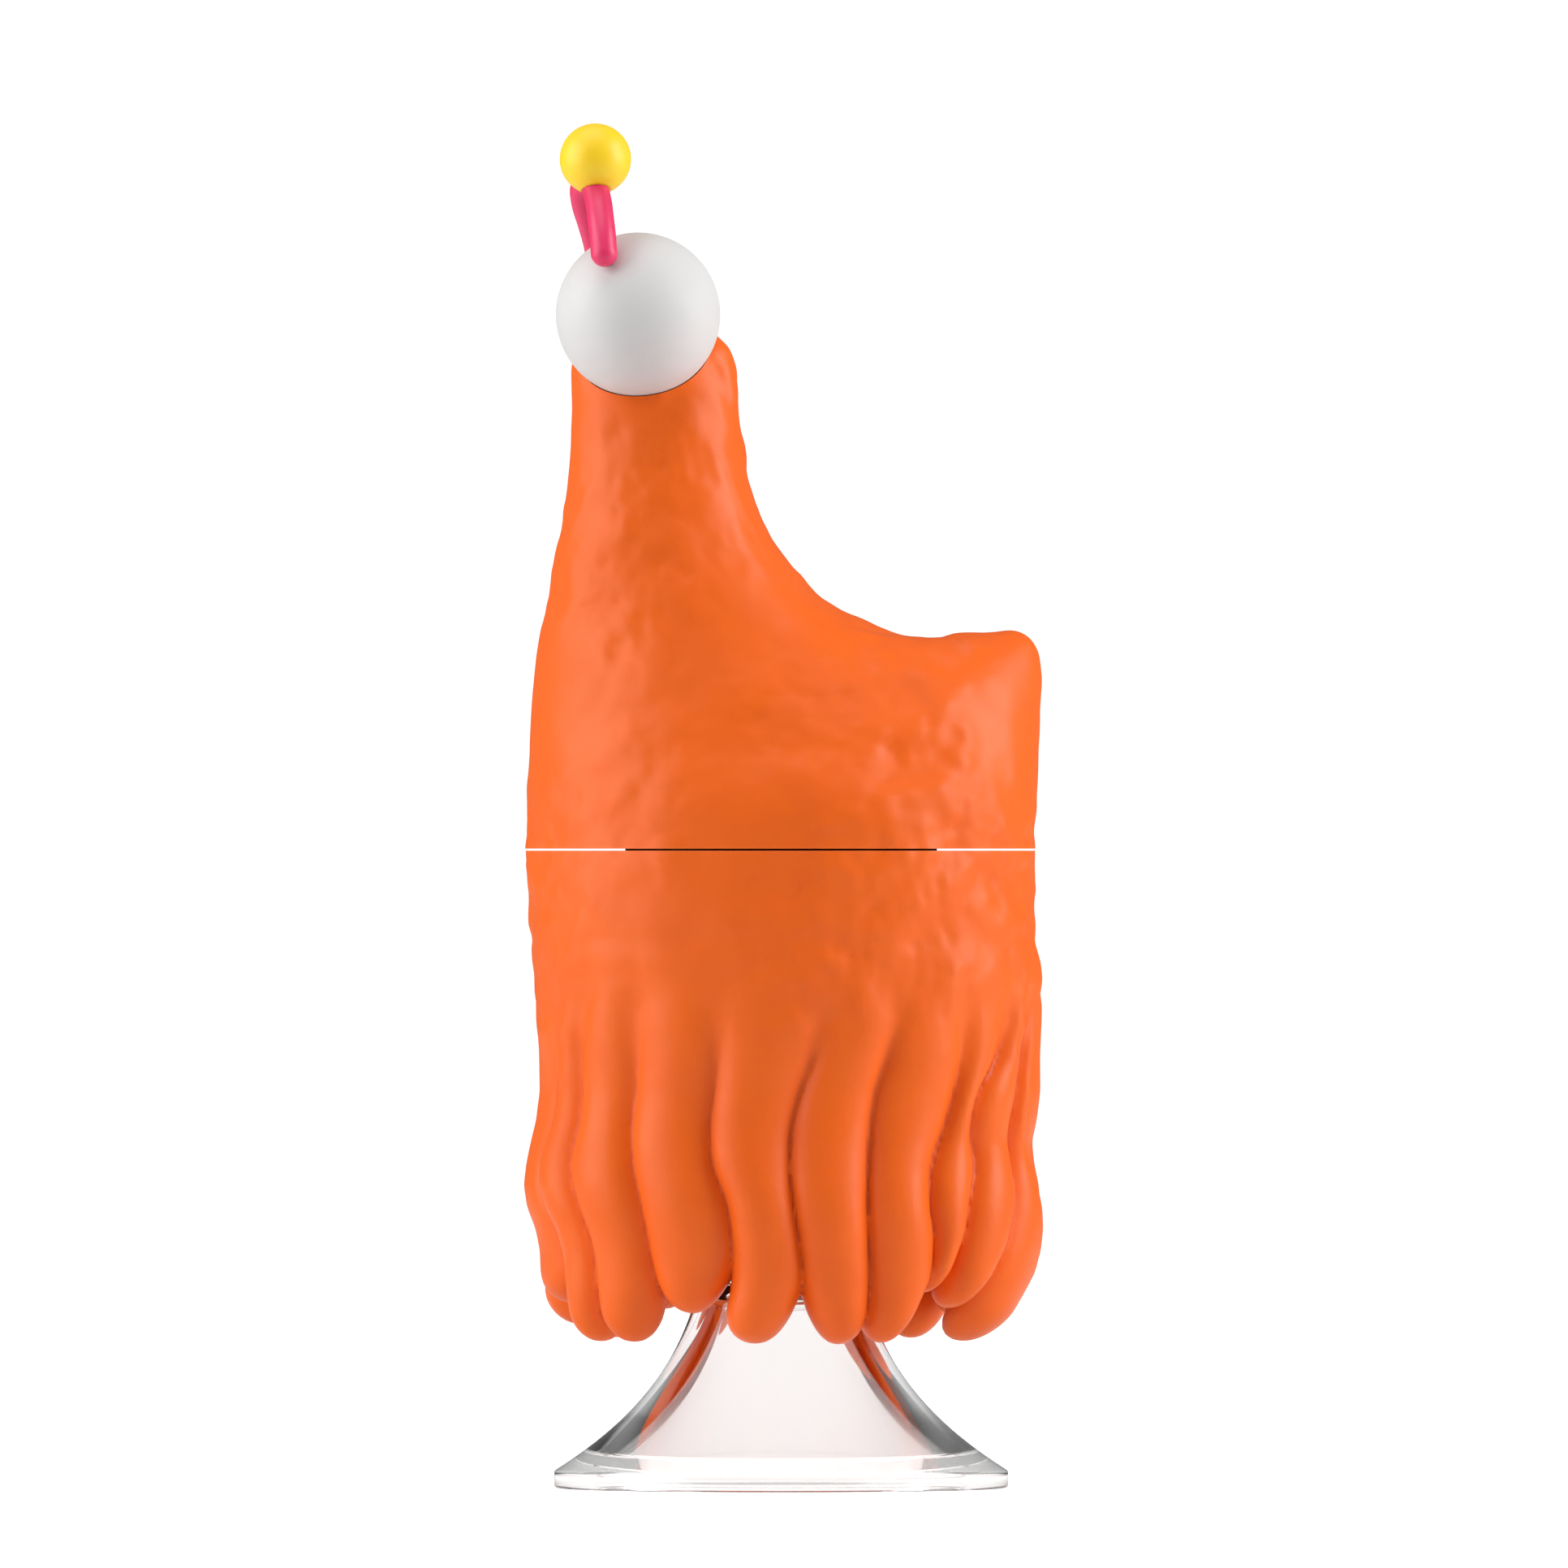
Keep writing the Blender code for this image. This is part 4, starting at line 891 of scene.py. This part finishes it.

# %% [markdown]
# ## The studio
# A pale floor under a white surround, large soft lights on both sides, a weak one overhead and none
# in front, which leaves the middle of the body a little deeper than its sides. A wide card hangs
# high at the back that only rays through the clear foot can see: it glows grey in its middle and
# dark outside, a painted reflection that draws the foot's grey edges, and the plain middle of the
# foot looks past under it.

# %% Floor
floor_mesh = bpy.data.meshes.new("floor")
FLOOR_HALF, GLOW_IN_CLEAR = 6, 0.50  # in metres, and how bright the floor is through the clear foot
floor_corners = [(-FLOOR_HALF, -FLOOR_HALF, 0), (FLOOR_HALF, -FLOOR_HALF, 0),
                 (FLOOR_HALF, FLOOR_HALF, 0), (-FLOOR_HALF, FLOOR_HALF, 0)]
floor_mesh.from_pydata(floor_corners, [], [(0, 1, 2, 3)])
floor = bpy.data.objects.new("floor", floor_mesh)
bpy.context.scene.collection.objects.link(floor)
floor_paint = bpy.data.materials.new("floor_paint")
floor_paint.use_nodes = True
paint = floor_paint.node_tree.nodes["Principled BSDF"]
paint.inputs["Base Color"].default_value = (0.86, 0.86, 0.86, 1)
paint.inputs["Roughness"].default_value = 0.9
paint.inputs["Specular IOR Level"].default_value = 0.0
paint.inputs["Emission Color"].default_value = (1, 1, 1, 1)
glow = floor_paint.node_tree
seen = add(glow, "LightPath")
through_clear = add(glow, "Math", {0: seen.outputs["Is Transmission Ray"], 1: GLOW_IN_CLEAR},
                    operation="MULTIPLY").outputs[0]
both = add(glow, "Math", {0: seen.outputs["Is Camera Ray"], 1: through_clear}, operation="ADD").outputs[0]
glow.links.new(both, paint.inputs["Emission Strength"])
floor.data.materials.append(floor_paint)

# %% Surround
world = bpy.data.worlds.new("surround")
bpy.context.scene.world = world
world.use_nodes = True
tree = world.node_tree
backdrop = tree.nodes["Background"]
backdrop.inputs["Color"].default_value = (1, 1, 1, 1)
seen = add(tree, "LightPath")
clear_or_seen = add(tree, "Math", {0: seen.outputs["Is Camera Ray"], 1: seen.outputs["Is Transmission Ray"]},
                    operation="MAXIMUM").outputs[0]
AS_LIGHT, AS_BACKDROP = 0.15, 1.05  # the surround is weak as a light and white as a backdrop
tree.links.new(ranged(tree, clear_or_seen, 0, 1, AS_LIGHT, AS_BACKDROP), backdrop.inputs["Strength"])

# %% Lights


def softbox(name, place, target, width, height, watts):
    """A large rectangular area light that looks from its place to the target."""
    light = bpy.data.lights.new(name, "AREA")
    light.shape, light.size, light.size_y, light.energy = "RECTANGLE", width, height, watts
    thing = bpy.data.objects.new(name, light)
    bpy.context.scene.collection.objects.link(thing)
    away = np.array(place, float) - np.array(target, float)
    flat = math.hypot(away[0], away[1])
    thing.location = place
    thing.rotation_euler = (math.atan2(flat, away[2]), 0, math.atan2(away[0], -away[1]))
    thing.visible_camera = False


BODY_MIDDLE = (0, 0, 0.2)
softbox("left_softbox", (-1.74, -0.42, 0.80), BODY_MIDDLE, 1.8, 2.0, 38)
softbox("right_softbox", (1.37, -0.25, 0.80), BODY_MIDDLE, 0.8, 1.3, 23)
softbox("top_softbox", (-0.20, -0.08, 1.6), BODY_MIDDLE, 1.2, 1.0, 9)

# %% Dark card
card_paint = bpy.data.materials.new("card_paint")
card_paint.use_nodes = True
card_tree = card_paint.node_tree
card_shader = card_tree.nodes["Principled BSDF"]
card_shader.inputs["Base Color"].default_value = (0.02, 0.02, 0.02, 1)
card_shader.inputs["Roughness"].default_value = 0.9
card_shader.inputs["Emission Color"].default_value = (1, 1, 1, 1)
card_x = add(card_tree, "SeparateXYZ", {0: add(card_tree, "TexCoord").outputs["Object"]}).outputs["X"]
card_out = add(card_tree, "Math", {0: card_x}, operation="ABSOLUTE").outputs[0]
CARD_Y, CARD_HALF, CARD_LOW, CARD_TOP = 1.6, 1.6, 0.40, 1.6
CARD_GLOW_IN_MIDDLE, CARD_GLOW_OUTSIDE, CARD_FADE = 0.60, 0.04, 0.55
# the card glows, grey in its middle and dark outside, and only rays through the foot see it: painted
# reflection in the foot's edges
card_glow = ranged(card_tree, card_out, 0.0, CARD_FADE, CARD_GLOW_IN_MIDDLE, CARD_GLOW_OUTSIDE)
card_tree.links.new(card_glow, card_shader.inputs["Emission Strength"])
card_mesh = bpy.data.meshes.new("card")
card_mesh.from_pydata([(-CARD_HALF, CARD_Y, CARD_LOW), (CARD_HALF, CARD_Y, CARD_LOW),
                       (CARD_HALF, CARD_Y, CARD_TOP), (-CARD_HALF, CARD_Y, CARD_TOP)], [], [(0, 1, 2, 3)])
card = bpy.data.objects.new("dark_card", card_mesh)
bpy.context.scene.collection.objects.link(card)
card.data.materials.append(card_paint)
card.visible_camera = card.visible_diffuse = card.visible_shadow = card.visible_glossy = False

# %% [markdown]
# ## The camera
# A very long lens from nine metres away: the horizon lies on the parting line, so the slit between
# the halves is seen straight through, and both ends of the figure are in true proportion.

# %% Camera
CAMERA_AWAY, FRAME_WIDE, FRAME_MIDDLE_Z, SENSOR_MM = 9.0, 0.4347, 0.1952, 36.0
lens = bpy.data.cameras.new("long_lens")
lens.sensor_width = SENSOR_MM
lens.lens = SENSOR_MM * CAMERA_AWAY / FRAME_WIDE
lens.shift_y = (FRAME_MIDDLE_Z - PARTING * MM) / FRAME_WIDE
lens.clip_end = 100.0
camera = bpy.data.objects.new("camera", lens)
camera.location = (0.0008, -CAMERA_AWAY, PARTING * MM)
camera.rotation_euler = (math.pi / 2, 0, 0)
bpy.context.scene.collection.objects.link(camera)
bpy.context.scene.camera = camera
bpy.context.scene.view_settings.view_transform = "Standard"
